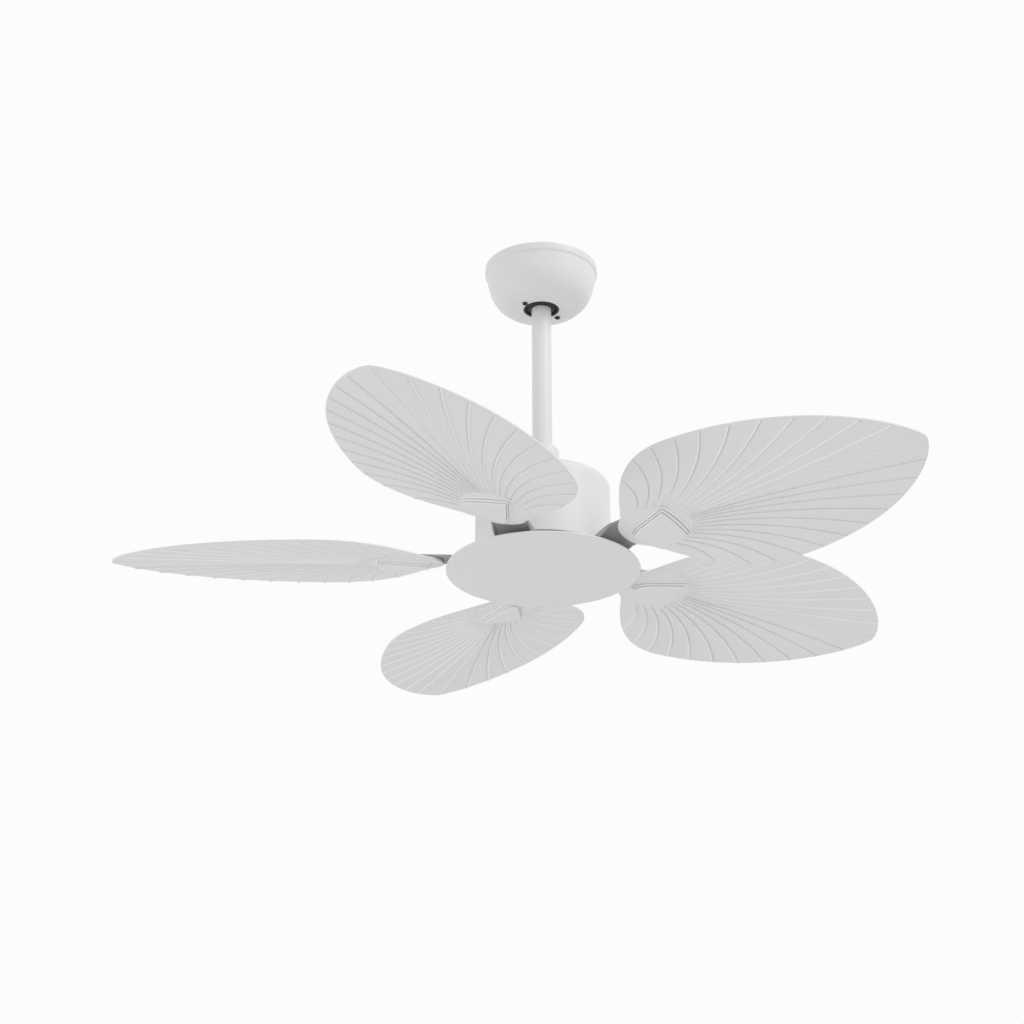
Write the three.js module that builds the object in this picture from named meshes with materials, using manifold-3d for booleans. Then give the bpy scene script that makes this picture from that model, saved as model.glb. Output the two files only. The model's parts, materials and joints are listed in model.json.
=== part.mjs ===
// A ceiling fan with five ribbed palm-leaf blades, hung from a ball joint on a short downrod.
// Units are millimetres, +Z is up, and the origin is on the ceiling plane, on the fan's axis.
import * as THREE from "three";
import { mergeVertices } from "three/addons/utils/BufferGeometryUtils.js";
import Module from "manifold-3d";

const wasm = await Module();
wasm.setup();

// ---- Driving dimensions -------------------------------------------------------------------

const SEAT_GAP = 0.3; // between pieces that touch
const SCREW_CLEARANCE = 0.5; // of a screw in its hole
const CUT_PAST = 1; // how far a cutting shape reaches past what it cuts

// Flat sides of round pieces: the wide ones and the ball joint, the middling, and the small.
const WIDE_SIDES = 32;
const SIDES = 24;
const SMALL_SIDES = 8;

// Steps round an outer fillet, and round the fillet inside it.
const FILLET_STEPS = 4;
const INNER_FILLET_STEPS = 3;

// Pan screw heads, as multiples of the screw's radius.
const SCREW_HEAD_R = 1.8;
const SCREW_HEAD_TOP_R = 1.26;
const SCREW_HEAD_HEIGHT = 1;
const SCREW_HEAD_EDGE = 0.5;

// Canopy: a white cup against the ceiling, open at the top, with a round hole in its bottom.
const CANOPY_RIM_R = 72;
const CANOPY_BAND_HEIGHT = 9;
const CANOPY_BAND_STEP = 1.5;
const CANOPY_SHOULDER_R = 66.5;
const CANOPY_SHOULDER_DEPTH = 30;
const CANOPY_BEND_R = 61;
const CANOPY_BEND_DEPTH = 43;
const CANOPY_KNEE_R = 54;
const CANOPY_KNEE_DEPTH = 51.5;
const CANOPY_CURVE_R = 46;
const CANOPY_CURVE_DEPTH = 57;
const CANOPY_FLOOR_R = 37;
const CANOPY_DEPTH = 59;
const CANOPY_WALL = 1.2;
const CANOPY_SLANT = 0.5; // share of the wall that a slanted stretch is moved in, along R or Z
const CANOPY_HOLE_R = 22.8;
const CANOPY_TURN_DEG = 43; // the line through the two canopy screws, from +X

// Hanger ball, its liner ring and the cradle that carries them.
const BALL_R = 25;
const BALL_DEPTH = 39; // ceiling to the ball's centre
const BALL_TOP = 12; // flat top, above the centre
const BALL_BOTTOM = 20; // flat bottom, below the centre
const LINER_THICKNESS = 2;
const LINER_TOP = 9; // below the ball's centre
const LINER_BOTTOM = 17;
const CRADLE_TOP = 8;
const CRADLE_OUTER_R = 34;
const CROSS_PIN_R = 3;
const CROSS_PIN_RISE = 6; // above the ball's centre
const CROSS_PIN_LENGTH = 42;

// Hanger bracket: a ceiling plate and two legs down to the cradle.
const PLATE_LENGTH = 108;
const PLATE_WIDTH = 34;
const PLATE_THICKNESS = 2.3;
const PLATE_CORNER_R = 4;
const CEILING_SLOT_SPACING = 84;
const CEILING_SLOT_LENGTH = 12;
const CEILING_SLOT_WIDTH = 5.5;
const CEILING_SLOT_CORNER_R = 2.7;
const LEG_THICKNESS = 2.6;
const LEG_WIDTH = 24;
const LEG_END_ABOVE_CRADLE_BOTTOM = 2;

const RECEIVER_SIZE = [56, 30, 13];
const RECEIVER_CORNER_R = 3;

const CANOPY_SCREW_CIRCLE_R = 28.3;
const CANOPY_SCREW_R = 1.9;
const CANOPY_SCREW_LENGTH = 7;

// Downrod.
const ROD_R = 12.5;
const ROD_WALL = 2;
const ROD_TOP = 13; // above the ball's centre
const ROD_LENGTH = 275;

// Motor yoke: holds the rod above and the motor shaft below, and carries the housing on its flange.
const YOKE_NECK_R = 16;
const YOKE_SOCKET_DEPTH = 29; // how far the rod enters
const YOKE_FLANGE_R = 42;
const YOKE_FLANGE_THICKNESS = 5;
const YOKE_WEB = 9; // metal between the rod's end and the shaft's end
const YOKE_PASSAGE_R = 7; // the lead's way through the web
const YOKE_HUB_LENGTH = 24; // grip on the shaft
const CLEVIS_PIN_R = 3;
const CLEVIS_PIN_HEAD_R = 4.5;
const CLEVIS_PIN_HEAD_THICKNESS = 1.4;
const CLEVIS_PIN_PAST_CLIP = 0.8;
const CLEVIS_PIN_ABOVE_ROD_END = 14;
const SET_SCREW_R = 2.4;
const SET_SCREW_ABOVE_ROD_END = 22;
const SET_SCREW_PROUD = 1;
const COTTER_WIRE_R = 0.6;
const COTTER_LEG = 5; // from the pin's middle to either end of a leg
const COTTER_BEND = 1.4; // how far the bend reaches past the legs
const COTTER_WAVE = 0.6; // how far the upper leg bows

// Coupling cover: the collar that hides the yoke's neck.
const COLLAR_R = 20.8;
const COLLAR_WALL = 1.4;
const COLLAR_HEIGHT = 48;
const COLLAR_FILLET = 7.5;

// Motor housing: a plain cylinder with a rounded top edge.
const HOUSING_R = 83.5;
const HOUSING_HEIGHT = 101;
const HOUSING_WALL = 1.5;
const HOUSING_FILLET = 12;
const HOUSING_SCREW_COUNT = 3;
const HOUSING_SCREW_CIRCLE_R = 32;
const HOUSING_SCREW_START_DEG = 30;
const HOUSING_SCREW_R = 2;
const HOUSING_SCREW_LENGTH = 6;

// Motor: a fixed hollow shaft and stator, with the rotor shell turning round them.
const SHAFT_R = 8.5;
const LEAD_R = 2.7;
const LEAD_PLUG_SIZE = [14, 7, 5.5];
const SHAFT_PIN_R = 2;
const SHAFT_PIN_BELOW_SHAFT_TOP = 12;
const SHAFT_THREAD_R = 6;
const SHAFT_THREAD_PAST_NUT = 0.6;
const BEARING_R = 20;
const BEARING_WIDTH = 12;
const HOUSING_ROTOR_GAP = 8; // from the housing's inside to the rotor
const ROTOR_WALL = 4;
const ROTOR_WEB = 4;
const ROTOR_HUB_WALL = 4;
const ROTOR_COVER_HEIGHT = 17;
const ROTOR_RING_HEIGHT = 25;
const ROTOR_RING_WALL = 8;
const BEARING_LIP_R = 13;
const AIR_GAP = 1;
const STATOR_HEIGHT = 18;
const STATOR_TEETH = 12;
const STATOR_CORE_R = 27;
const STATOR_TOOTH_WIDTH = 7;
const STATOR_SHOE_THICKNESS = 4;
const STATOR_SLOT_MOUTH = 4;
const WINDING_HEIGHT = 9;
const WINDING_INNER_R = 29;
const WINDING_SHOE_GAP = 7; // from the winding's outside to the teeth's shoes
const WINDING_ROUND = 3;

// Hub under the housing: the plate that carries the blade arms.
const HUB_PLATE_INSET = 2.5; // inside the housing's outline
const HUB_PLATE_THICKNESS = 3;
const HUB_PLATE_HOLE_R = 30;
const HUB_BELOW_HOUSING = 1.5;

// Cover disc and its carrier on the shaft's end.
const DISC_R = 119.3;
const DISC_THICKNESS = 3.2;
const DISC_EDGE = 1.5;
const DISC_SOCKET_R = 24;
const DISC_SOCKET_WALL = 2.4;
const DISC_SOCKET_HEIGHT = 6;
const DISC_BELOW_HOUSING = 17.5; // housing rim to the disc's underside
const CARRIER_HEIGHT = 8.5;
const CARRIER_RECESS_R = 15;
const CARRIER_RECESS_DEPTH = 5;
const SHAFT_NUT_R = 10;
const SHAFT_NUT_HEIGHT = 3.6;

// Blades: flat leaves with raised ribs on the underside, in their own plane.
const BLADE_COUNT = 5;
const FIRST_BLADE_DEG = 178.4;
const BLADE_PITCH_DEG = 12; // the leading edge, clockwise seen from above, is the higher one
const BLADE_RISE_DEG = 1.25; // the tips stand a little higher than the roots
const BLADE_PLANE_HEIGHT = 10.4; // the blade's plane on the axis, above the disc's underside
const BLADE_THICKNESS = 3;
const LEAF_ROOT = 121.5; // from the axis
const LEAF_NECK = 136; // where the round root ends and the leaf flares out
const LEAF_NECK_HALF_WIDTH = 29;
const LEAF_NECK_SLANT_DEG = 33; // the rim's direction at the neck, from the midrib
const LEAF_WIDEST = 272.6;
const LEAF_TIP = 533.1;
const LEAF_HALF_WIDTH = 135.1;
const LEAF_ROOT_ROUNDING = 14; // lengths of the outline curves' handles
const LEAF_NECK_ROUNDING = 10.7;
const LEAF_NECK_FLARE = 16.6;
const LEAF_INNER_FULLNESS = 88.6;
const LEAF_OUTER_FULLNESS = 173.8;
const LEAF_TIP_ROUNDING = 26.2;
const RIBS_PER_SIDE = 11;
const RIM_TO_FIRST_RIB = 118; // along the rim, from the root
const RIM_TO_SECOND_RIB = 162;
const CLOSE_RIBS = 3; // spaces after the second rib that have the close pitch
const CLOSE_RIB_PITCH = 33.5;
const RIB_PITCH = 36.6;
const RIB_HEIGHT = 1.8;
const RIB_HALF_WIDTH = 2.2; // at the rim
const RIB_START_HALF_WIDTH = 0.7; // on the ellipse
const RIB_FAN_CENTRE = 162; // from the axis; ribs start on part of an ellipse round this point
const RIB_FAN_LENGTH = 54; // half axes of the ellipse, outwards and across
const RIB_FAN_HALF_WIDTH = 41;
const RIB_FAN_HALF_ANGLE_DEG = 82;
const RIB_FAN_CROWDING = 1.5; // above 1, ribs start closer together near the midrib
const RIB_BEND = 0.24; // how far a rib bows, for a rib square to the midrib

// Medallions: three nested steps under each blade root.
const MEDALLION_ROOT = 136; // from the axis
const MEDALLION_NECK = 148;
const MEDALLION_SHOULDER = 200;
const MEDALLION_ROOT_HALF_WIDTH = 5;
const MEDALLION_NECK_HALF_WIDTH = 13;
const MEDALLION_HALF_WIDTH = 32; // at the shoulder
const MEDALLION_BOW = 5; // of the first step's tip edge; the lower ones are straighter
const MEDALLION_STEPS = 3;
const MEDALLION_STEP_HEIGHT = 2.4;
const MEDALLION_STEP_LAP = 1; // how much lower each step's hidden top starts
const MEDALLION_STEP_WIDTH = 2;

// Blade arms: a tab bolted under the hub plate, a hollow neck, and a pad on top of the blade.
const ARM_START = 40;
const ARM_NECK_START = 90;
const ARM_NECK_TO_LEAF = 0.8; // the neck ends this far short of the leaf's root
const ARM_PAD_END = 203;
const ARM_THICKNESS = 3;
const ARM_TAB_HALF_WIDTH = 15;
const ARM_NECK_HALF_WIDTH = 25;
const ARM_PAD_HALF_WIDTH = 29;
const ARM_FLANGE_DEPTH = 5;
const ARM_FLANGE_THICKNESS = 2.2;
const ARM_FLANGE_CHAMFER = 1;
const ARM_SCREW_FROM_AXIS = [50, 68];
const ARM_SCREW_R = 2;
const ARM_SCREW_LENGTH = 8.5;

// ---- Radii that follow from others --------------------------------------------------------

const linerInnerR = BALL_R + SEAT_GAP;
const linerOuterR = linerInnerR + LINER_THICKNESS;
const cradleSeatR = linerOuterR + SEAT_GAP;
const armNeckEnd = LEAF_ROOT - ARM_NECK_TO_LEAF;
const rotorR = HOUSING_R - HOUSING_WALL - HOUSING_ROTOR_GAP;
const statorR = rotorR - ROTOR_RING_WALL - AIR_GAP;
const shoeInnerR = statorR - STATOR_SHOE_THICKNESS;
const windingOuterR = shoeInnerR - WINDING_SHOE_GAP;
const hubPlateR = HOUSING_R - HUB_PLATE_INSET;
const leadAside = Math.max(CLEVIS_PIN_R, CROSS_PIN_R) + LEAD_R + SEAT_GAP * 2; // past both pins
const cotterX = YOKE_NECK_R + SEAT_GAP + COTTER_WIRE_R;

// ---- Heights, measured down from the ceiling ----------------------------------------------

const cradleBottom = CANOPY_DEPTH - CANOPY_WALL - SEAT_GAP - BALL_DEPTH; // below the ball's centre
const leadTop = -BALL_DEPTH + ROD_TOP + SEAT_GAP;

const rodEnd = -BALL_DEPTH + ROD_TOP - ROD_LENGTH;
const yokeTop = rodEnd + YOKE_SOCKET_DEPTH;
const yokeFlangeTop = rodEnd - YOKE_WEB + YOKE_FLANGE_THICKNESS;
const clevisPinHeight = rodEnd + CLEVIS_PIN_ABOVE_ROD_END;
const setScrewHeight = rodEnd + SET_SCREW_ABOVE_ROD_END;
const housingTop = yokeFlangeTop + SEAT_GAP + HOUSING_WALL;
const housingRim = housingTop - HOUSING_HEIGHT;
const discFace = housingRim - DISC_BELOW_HOUSING;
const hubPlateTop = housingRim - HUB_BELOW_HOUSING;
const hubPlateBottom = hubPlateTop - HUB_PLATE_THICKNESS;
const armTabBottom = hubPlateBottom - SEAT_GAP - ARM_THICKNESS;
const discTop = discFace + DISC_THICKNESS;
const shaftTop = rodEnd - YOKE_WEB - SEAT_GAP;
const shaftPinHeight = shaftTop - SHAFT_PIN_BELOW_SHAFT_TOP;
const carrierBottom = discTop + SEAT_GAP;
const carrierTop = carrierBottom + CARRIER_HEIGHT;
const shaftNutTop = carrierBottom + CARRIER_RECESS_DEPTH - SEAT_GAP;
const shaftNutBottom = shaftNutTop - SHAFT_NUT_HEIGHT;
const lowerCoverBottom = hubPlateTop + SEAT_GAP;
const rotorRingBottom = lowerCoverBottom + ROTOR_COVER_HEIGHT + SEAT_GAP;
const upperCoverTop = rotorRingBottom + ROTOR_RING_HEIGHT + SEAT_GAP + ROTOR_COVER_HEIGHT;
const rotorMiddle = rotorRingBottom + ROTOR_RING_HEIGHT / 2;
const lowerBearingBottom = lowerCoverBottom + ROTOR_WEB + SEAT_GAP;
const upperBearingTop = upperCoverTop - ROTOR_WEB - SEAT_GAP;

// ---- Shape helpers ------------------------------------------------------------------------

const radians = THREE.MathUtils.degToRad;

// A closed mesh as a solid that can be joined and cut.
function solid(geometry) {
  const bare = geometry.index ? geometry.toNonIndexed() : geometry.clone();
  bare.deleteAttribute("normal");
  bare.deleteAttribute("uv");
  const merged = mergeVertices(bare, 1e-4);
  return new wasm.Manifold(
    new wasm.Mesh({
      numProp: 3,
      vertProperties: merged.attributes.position.array,
      triVerts: new Uint32Array(merged.index.array),
    }),
  );
}

function geometryOf(manifold) {
  const mesh = manifold.getMesh();
  const positions = new Float32Array(mesh.numVert * 3);
  for (let i = 0; i < mesh.numVert; i++) {
    positions.set(mesh.vertProperties.subarray(i * mesh.numProp, i * mesh.numProp + 3), i * 3);
  }
  return new THREE.BufferGeometry()
    .setAttribute("position", new THREE.BufferAttribute(positions, 3))
    .setIndex(new THREE.BufferAttribute(mesh.triVerts, 1));
}

// The first geometry with the others cut out of it.
function cut(geometry, ...tools) {
  return geometryOf(tools.reduce((left, tool) => left.subtract(solid(tool)), solid(geometry)));
}

function join(...geometries) {
  return geometryOf(geometries.map(solid).reduce((sum, next) => sum.add(next)));
}

// A solid of revolution about Z from a profile of [radius, z] points, in either direction.
function turned(profile, segments) {
  const onAxis = profile[0][0] === 0 && profile.at(-1)[0] === 0;
  const points = onAxis ? [...profile] : [...profile, profile[0]];
  const area = points.reduce((sum, [r, z], i) => {
    const [nextR, nextZ] = points[(i + 1) % points.length];
    return sum + r * nextZ - nextR * z;
  }, 0);
  if (area < 0) points.reverse();
  return new THREE.LatheGeometry(
    points.map(([r, z]) => new THREE.Vector2(r, z)),
    segments,
  ).rotateX(Math.PI / 2);
}

function cylinder(radius, bottom, top, segments) {
  return turned([[0, bottom], [radius, bottom], [radius, top], [0, top]], segments);
}

function tube(outer, inner, bottom, top, segments) {
  return turned([[inner, bottom], [outer, bottom], [outer, top], [inner, top]], segments);
}

// A cylinder along X, from x = start to x = end, at height z.
function crossCylinder(radius, start, end, z, segments) {
  return cylinder(radius, start, end, segments).rotateY(Math.PI / 2).translate(0, 0, z);
}

// A cutting shape for a pin's hole right across a round piece.
function crossHole(pinR, pieceR, z) {
  return crossCylinder(pinR + SEAT_GAP, -pieceR - CUT_PAST, pieceR + CUT_PAST, z, SMALL_SIDES);
}

// A cutting shape for an upright screw's hole.
function screwHole(screwR, x, y, bottom, top) {
  return cylinder(screwR + SCREW_CLEARANCE, bottom, top, SMALL_SIDES).translate(x, y, 0);
}

// Points of an arc round [r, z], from one angle to another in degrees, 0 pointing outwards.
function arc(centreR, centreZ, radius, fromDeg, toDeg, steps) {
  return Array.from({ length: steps + 1 }, (_, i) => {
    const angle = radians(fromDeg + ((toDeg - fromDeg) * i) / steps);
    return [centreR + radius * Math.cos(angle), centreZ + radius * Math.sin(angle)];
  });
}

// Points on a sphere round the ball's centre, from one height to another.
function sphereBand(radius, fromZ, toZ, steps) {
  const from = THREE.MathUtils.radToDeg(Math.asin(fromZ / radius));
  const to = THREE.MathUtils.radToDeg(Math.asin(toZ / radius));
  return arc(0, 0, radius, from, to, steps);
}

function prism(points, bottom, top) {
  const shape = new THREE.Shape(points.map(([x, y]) => new THREE.Vector2(x, y)));
  const depth = top - bottom;
  return new THREE.ExtrudeGeometry(shape, { depth, bevelEnabled: false }).translate(0, 0, bottom);
}

// A rectangle of the given size with round corners, or with full round ends.
function roundedOutline(length, width, radius, stepsPerCorner) {
  const corners = [[1, 1, 0], [-1, 1, 90], [-1, -1, 180], [1, -1, 270]];
  return corners.flatMap(([sx, sy, start]) => {
    const centre = [sx * (length / 2 - radius), sy * (width / 2 - radius)];
    return arc(...centre, radius, start, start + 90, stepsPerCorner);
  });
}

function box(sizeX, sizeY, bottom, top) {
  return new THREE.BoxGeometry(sizeX, sizeY, top - bottom).translate(0, 0, (top + bottom) / 2);
}

// A round wire along a route.
function along(route, radius, sides, steps) {
  const section = new THREE.Shape(
    arc(0, 0, radius, 0, 360 - 360 / sides, sides - 1).map(([x, y]) => new THREE.Vector2(x, y)),
  );
  return new THREE.ExtrudeGeometry(section, { steps, extrudePath: route, bevelEnabled: false });
}

function around(count, startDeg, make) {
  return Array.from({ length: count }, (_, i) => make(radians(startDeg + (360 * i) / count), i + 1));
}

// A pan-head screw whose head's seat is at z = 0 and whose shank points down.
function panScrew(radius, length) {
  const headTop = radius * SCREW_HEAD_HEIGHT;
  return turned(
    [
      [0, -length],
      [radius, -length],
      [radius, 0],
      [radius * SCREW_HEAD_R, 0],
      [radius * SCREW_HEAD_R, radius * SCREW_HEAD_EDGE],
      [radius * SCREW_HEAD_TOP_R, headTop],
      [0, headTop],
    ],
    SMALL_SIDES,
  );
}

function named(name, geometry, material) {
  const mesh = new THREE.Mesh(geometry, material);
  mesh.name = name;
  return mesh;
}

function finish(color, roughness, metalness) {
  return new THREE.MeshStandardMaterial({ color, roughness, metalness });
}

const whitePaint = () => finish(0xf2f2f0, 0.45, 0);
const whitePlastic = () => finish(0xf4f4f2, 0.5, 0);
const greyCasting = () => finish(0x8a8c8e, 0.45, 0.6);
const blackPlastic = () => finish(0x161617, 0.5, 0);
const blackSteel = () => finish(0x232324, 0.5, 0.6);
const plainSteel = () => finish(0xb4b6b8, 0.35, 1);
const electricalSteel = () => finish(0x6f7276, 0.5, 0.9);
const copper = () => finish(0xb4703c, 0.4, 0.9);

// ---- Ceiling side: bracket, canopy, receiver ----------------------------------------------

// The canopy's outer profile, from the hole's edge out and up to the rim, moved in by an inset.
function canopyProfile(inset) {
  return [
    [CANOPY_HOLE_R, -CANOPY_DEPTH + inset],
    [CANOPY_FLOOR_R - inset * CANOPY_SLANT, -CANOPY_DEPTH + inset],
    [CANOPY_CURVE_R - inset * CANOPY_SLANT, -CANOPY_CURVE_DEPTH + inset],
    [CANOPY_KNEE_R - inset, -CANOPY_KNEE_DEPTH + inset * CANOPY_SLANT],
    [CANOPY_BEND_R - inset, -CANOPY_BEND_DEPTH],
    [CANOPY_SHOULDER_R - inset, -CANOPY_SHOULDER_DEPTH],
    [CANOPY_RIM_R - CANOPY_BAND_STEP - inset, -CANOPY_BAND_HEIGHT - CANOPY_BAND_STEP],
    [CANOPY_RIM_R - inset, -CANOPY_BAND_HEIGHT],
    [CANOPY_RIM_R - inset, 0],
  ];
}

function canopy() {
  const shell = turned([...canopyProfile(0), ...canopyProfile(CANOPY_WALL).reverse()], SIDES);
  return cut(shell, ...canopyScrewHoles());
}

function canopyScrewHoles() {
  const bottom = -CANOPY_DEPTH - CUT_PAST;
  const top = -CANOPY_DEPTH + CANOPY_SCREW_LENGTH + CUT_PAST;
  return [-1, 1].map((side) =>
    screwHole(CANOPY_SCREW_R, side * CANOPY_SCREW_CIRCLE_R, 0, bottom, top),
  );
}

function hangerBracket() {
  const cradle = turned(
    [
      ...sphereBand(cradleSeatR, -cradleBottom, -CRADLE_TOP, 4),
      [CRADLE_OUTER_R, -CRADLE_TOP],
      [CRADLE_OUTER_R, -cradleBottom],
    ],
    WIDE_SIDES,
  ).translate(0, 0, -BALL_DEPTH);
  const legX = CRADLE_OUTER_R - LEG_THICKNESS / 2;
  const legEnd = -BALL_DEPTH - cradleBottom + LEG_END_ABOVE_CRADLE_BOTTOM;
  const legs = [-1, 1].map((side) =>
    box(LEG_THICKNESS, LEG_WIDTH, legEnd, -PLATE_THICKNESS / 2).translate(side * legX, 0, 0),
  );
  const plateOutline = roundedOutline(PLATE_LENGTH, PLATE_WIDTH, PLATE_CORNER_R, 2);
  const plate = prism(plateOutline, -PLATE_THICKNESS, 0);
  const slotOutline = roundedOutline(CEILING_SLOT_LENGTH, CEILING_SLOT_WIDTH, CEILING_SLOT_CORNER_R, 2);
  const slots = [-1, 1].map((side) =>
    prism(slotOutline, -PLATE_THICKNESS - CUT_PAST, CUT_PAST)
      .translate((side * CEILING_SLOT_SPACING) / 2, 0, 0),
  );
  return cut(join(cradle, ...legs, plate), ...slots, ...canopyScrewHoles());
}

function receiverModule() {
  const [length, width, height] = RECEIVER_SIZE;
  const top = -PLATE_THICKNESS - SEAT_GAP;
  return prism(roundedOutline(length, width, RECEIVER_CORNER_R, 3), top - height, top);
}

function ceilingSide() {
  const group = new THREE.Group();
  group.rotation.z = radians(CANOPY_TURN_DEG);
  group.add(named("hanger_bracket", hangerBracket(), blackSteel()));
  group.add(named("canopy", canopy(), whitePaint()));
  group.add(named("receiver_module", receiverModule(), blackPlastic()));
  for (const [name, side] of [["canopy_screw_left", -1], ["canopy_screw_right", 1]]) {
    const screw = named(name, panScrew(CANOPY_SCREW_R, CANOPY_SCREW_LENGTH), blackSteel());
    screw.rotation.x = Math.PI;
    screw.position.set(side * CANOPY_SCREW_CIRCLE_R, 0, -CANOPY_DEPTH - SEAT_GAP);
    group.add(screw);
  }
  return group;
}

// ---- Ball joint and downrod ---------------------------------------------------------------

function linerRing() {
  return turned(
    [
      ...sphereBand(linerInnerR, -LINER_BOTTOM, -LINER_TOP, 3),
      ...sphereBand(linerOuterR, -LINER_TOP, -LINER_BOTTOM, 2),
    ],
    WIDE_SIDES,
  );
}

function hangerBall() {
  const ball = turned(
    [
      [ROD_R + SEAT_GAP, -BALL_BOTTOM],
      ...sphereBand(BALL_R, -BALL_BOTTOM, BALL_TOP, 7),
      [ROD_R + SEAT_GAP, BALL_TOP],
    ],
    WIDE_SIDES,
  );
  return cut(ball, crossHole(CROSS_PIN_R, BALL_R, CROSS_PIN_RISE));
}

function ballJoint() {
  const group = new THREE.Group();
  group.position.z = -BALL_DEPTH;
  group.rotation.z = radians(CANOPY_TURN_DEG);
  group.add(named("ball_liner_ring", linerRing(), blackPlastic()));
  group.add(named("hanger_ball", hangerBall(), blackPlastic()));
  const pinEnd = CROSS_PIN_LENGTH / 2;
  const pin = crossCylinder(CROSS_PIN_R, -pinEnd, pinEnd, CROSS_PIN_RISE, SMALL_SIDES);
  group.add(named("ball_cross_pin", pin, plainSteel()));
  const rodBottom = ROD_TOP - ROD_LENGTH;
  const rodTube = tube(ROD_R, ROD_R - ROD_WALL, rodBottom, ROD_TOP, SIDES);
  const upperHole = crossHole(CROSS_PIN_R, ROD_R, CROSS_PIN_RISE);
  const lowerHole = crossHole(CLEVIS_PIN_R, ROD_R, rodBottom + CLEVIS_PIN_ABOVE_ROD_END);
  group.add(named("downrod", cut(rodTube, upperHole, lowerHole), whitePaint()));
  return group;
}

// ---- Motor yoke and coupling cover --------------------------------------------------------

// The yoke and what crosses it share the ball's turn, so that the rod's two pin holes line up.
function motorYoke() {
  const body = turned(
    [
      [YOKE_PASSAGE_R, rodEnd - SEAT_GAP],
      [YOKE_PASSAGE_R, shaftTop + SEAT_GAP],
      [SHAFT_R + SEAT_GAP, shaftTop + SEAT_GAP],
      [SHAFT_R + SEAT_GAP, shaftTop - YOKE_HUB_LENGTH],
      [YOKE_NECK_R, shaftTop - YOKE_HUB_LENGTH],
      [YOKE_NECK_R, yokeFlangeTop - YOKE_FLANGE_THICKNESS],
      [YOKE_FLANGE_R, yokeFlangeTop - YOKE_FLANGE_THICKNESS],
      [YOKE_FLANGE_R, yokeFlangeTop],
      [YOKE_NECK_R, yokeFlangeTop],
      [YOKE_NECK_R, yokeTop],
      [ROD_R + SEAT_GAP, yokeTop],
      [ROD_R + SEAT_GAP, rodEnd - SEAT_GAP],
    ],
    SIDES,
  );
  const neckEnd = YOKE_NECK_R + CUT_PAST;
  const setScrewHole = crossCylinder(SET_SCREW_R + SEAT_GAP, 0, neckEnd, setScrewHeight, SMALL_SIDES);
  return cut(
    body,
    crossHole(CLEVIS_PIN_R, YOKE_NECK_R, clevisPinHeight),
    setScrewHole.rotateZ(Math.PI / 2),
    crossHole(SHAFT_PIN_R, YOKE_NECK_R, shaftPinHeight),
    ...housingScrewHoles(yokeFlangeTop - YOKE_FLANGE_THICKNESS, yokeFlangeTop),
  );
}

const housingScrewPlaces = around(HOUSING_SCREW_COUNT, HOUSING_SCREW_START_DEG, (angle) => [
  HOUSING_SCREW_CIRCLE_R * Math.cos(angle),
  HOUSING_SCREW_CIRCLE_R * Math.sin(angle),
]);

function housingScrewHoles(bottom, top) {
  return housingScrewPlaces.map(([x, y]) =>
    screwHole(HOUSING_SCREW_R, x, y, bottom - CUT_PAST, top + CUT_PAST),
  );
}

function clevisPin() {
  const headSeat = -YOKE_NECK_R - SEAT_GAP;
  const headEnd = headSeat - CLEVIS_PIN_HEAD_THICKNESS;
  const tail = cotterX + COTTER_WIRE_R + CLEVIS_PIN_PAST_CLIP;
  const profile = [
    [0, headEnd],
    [CLEVIS_PIN_HEAD_R, headEnd],
    [CLEVIS_PIN_HEAD_R, headSeat],
    [CLEVIS_PIN_R, headSeat],
    [CLEVIS_PIN_R, tail],
    [0, tail],
  ];
  const pin = turned(profile, SMALL_SIDES).rotateY(Math.PI / 2);
  const holeEnd = CLEVIS_PIN_R + CUT_PAST;
  const wireHole = cylinder(COTTER_WIRE_R + SEAT_GAP, -holeEnd, holeEnd, SMALL_SIDES)
    .rotateX(Math.PI / 2)
    .translate(cotterX, 0, 0);
  return cut(pin, wireHole).translate(0, 0, clevisPinHeight);
}

// A spring clip: one leg through the pin's cross hole, the other bowed over the pin's back.
function clevisCotter() {
  const overPin = CLEVIS_PIN_R + SEAT_GAP + COTTER_WIRE_R;
  const points = [
    [-COTTER_LEG, 0],
    [0, 0],
    [COTTER_LEG, 0],
    [COTTER_LEG + COTTER_BEND, overPin / 2],
    [COTTER_LEG, overPin - COTTER_WAVE],
    [0, overPin + COTTER_WAVE],
    [-COTTER_LEG, overPin - COTTER_WAVE],
  ];
  const route = new THREE.CatmullRomCurve3(points.map(([y, z]) => new THREE.Vector3(cotterX, y, z)));
  return along(route, COTTER_WIRE_R, 6, 16).translate(0, 0, clevisPinHeight);
}

function couplingCover() {
  const bottom = housingTop + SEAT_GAP;
  const top = bottom + COLLAR_HEIGHT;
  const innerR = COLLAR_R - COLLAR_WALL;
  const holeR = ROD_R + SCREW_CLEARANCE;
  const filletCentre = [COLLAR_R - COLLAR_FILLET, top - COLLAR_FILLET];
  return turned(
    [
      [innerR, bottom],
      [COLLAR_R, bottom],
      ...arc(...filletCentre, COLLAR_FILLET, 0, 90, FILLET_STEPS),
      [holeR, top],
      [holeR, top - COLLAR_WALL],
      ...arc(...filletCentre, COLLAR_FILLET - COLLAR_WALL, 90, 0, INNER_FILLET_STEPS),
    ],
    SIDES,
  );
}

// ---- Motor housing and fixed motor pieces -------------------------------------------------

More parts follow.
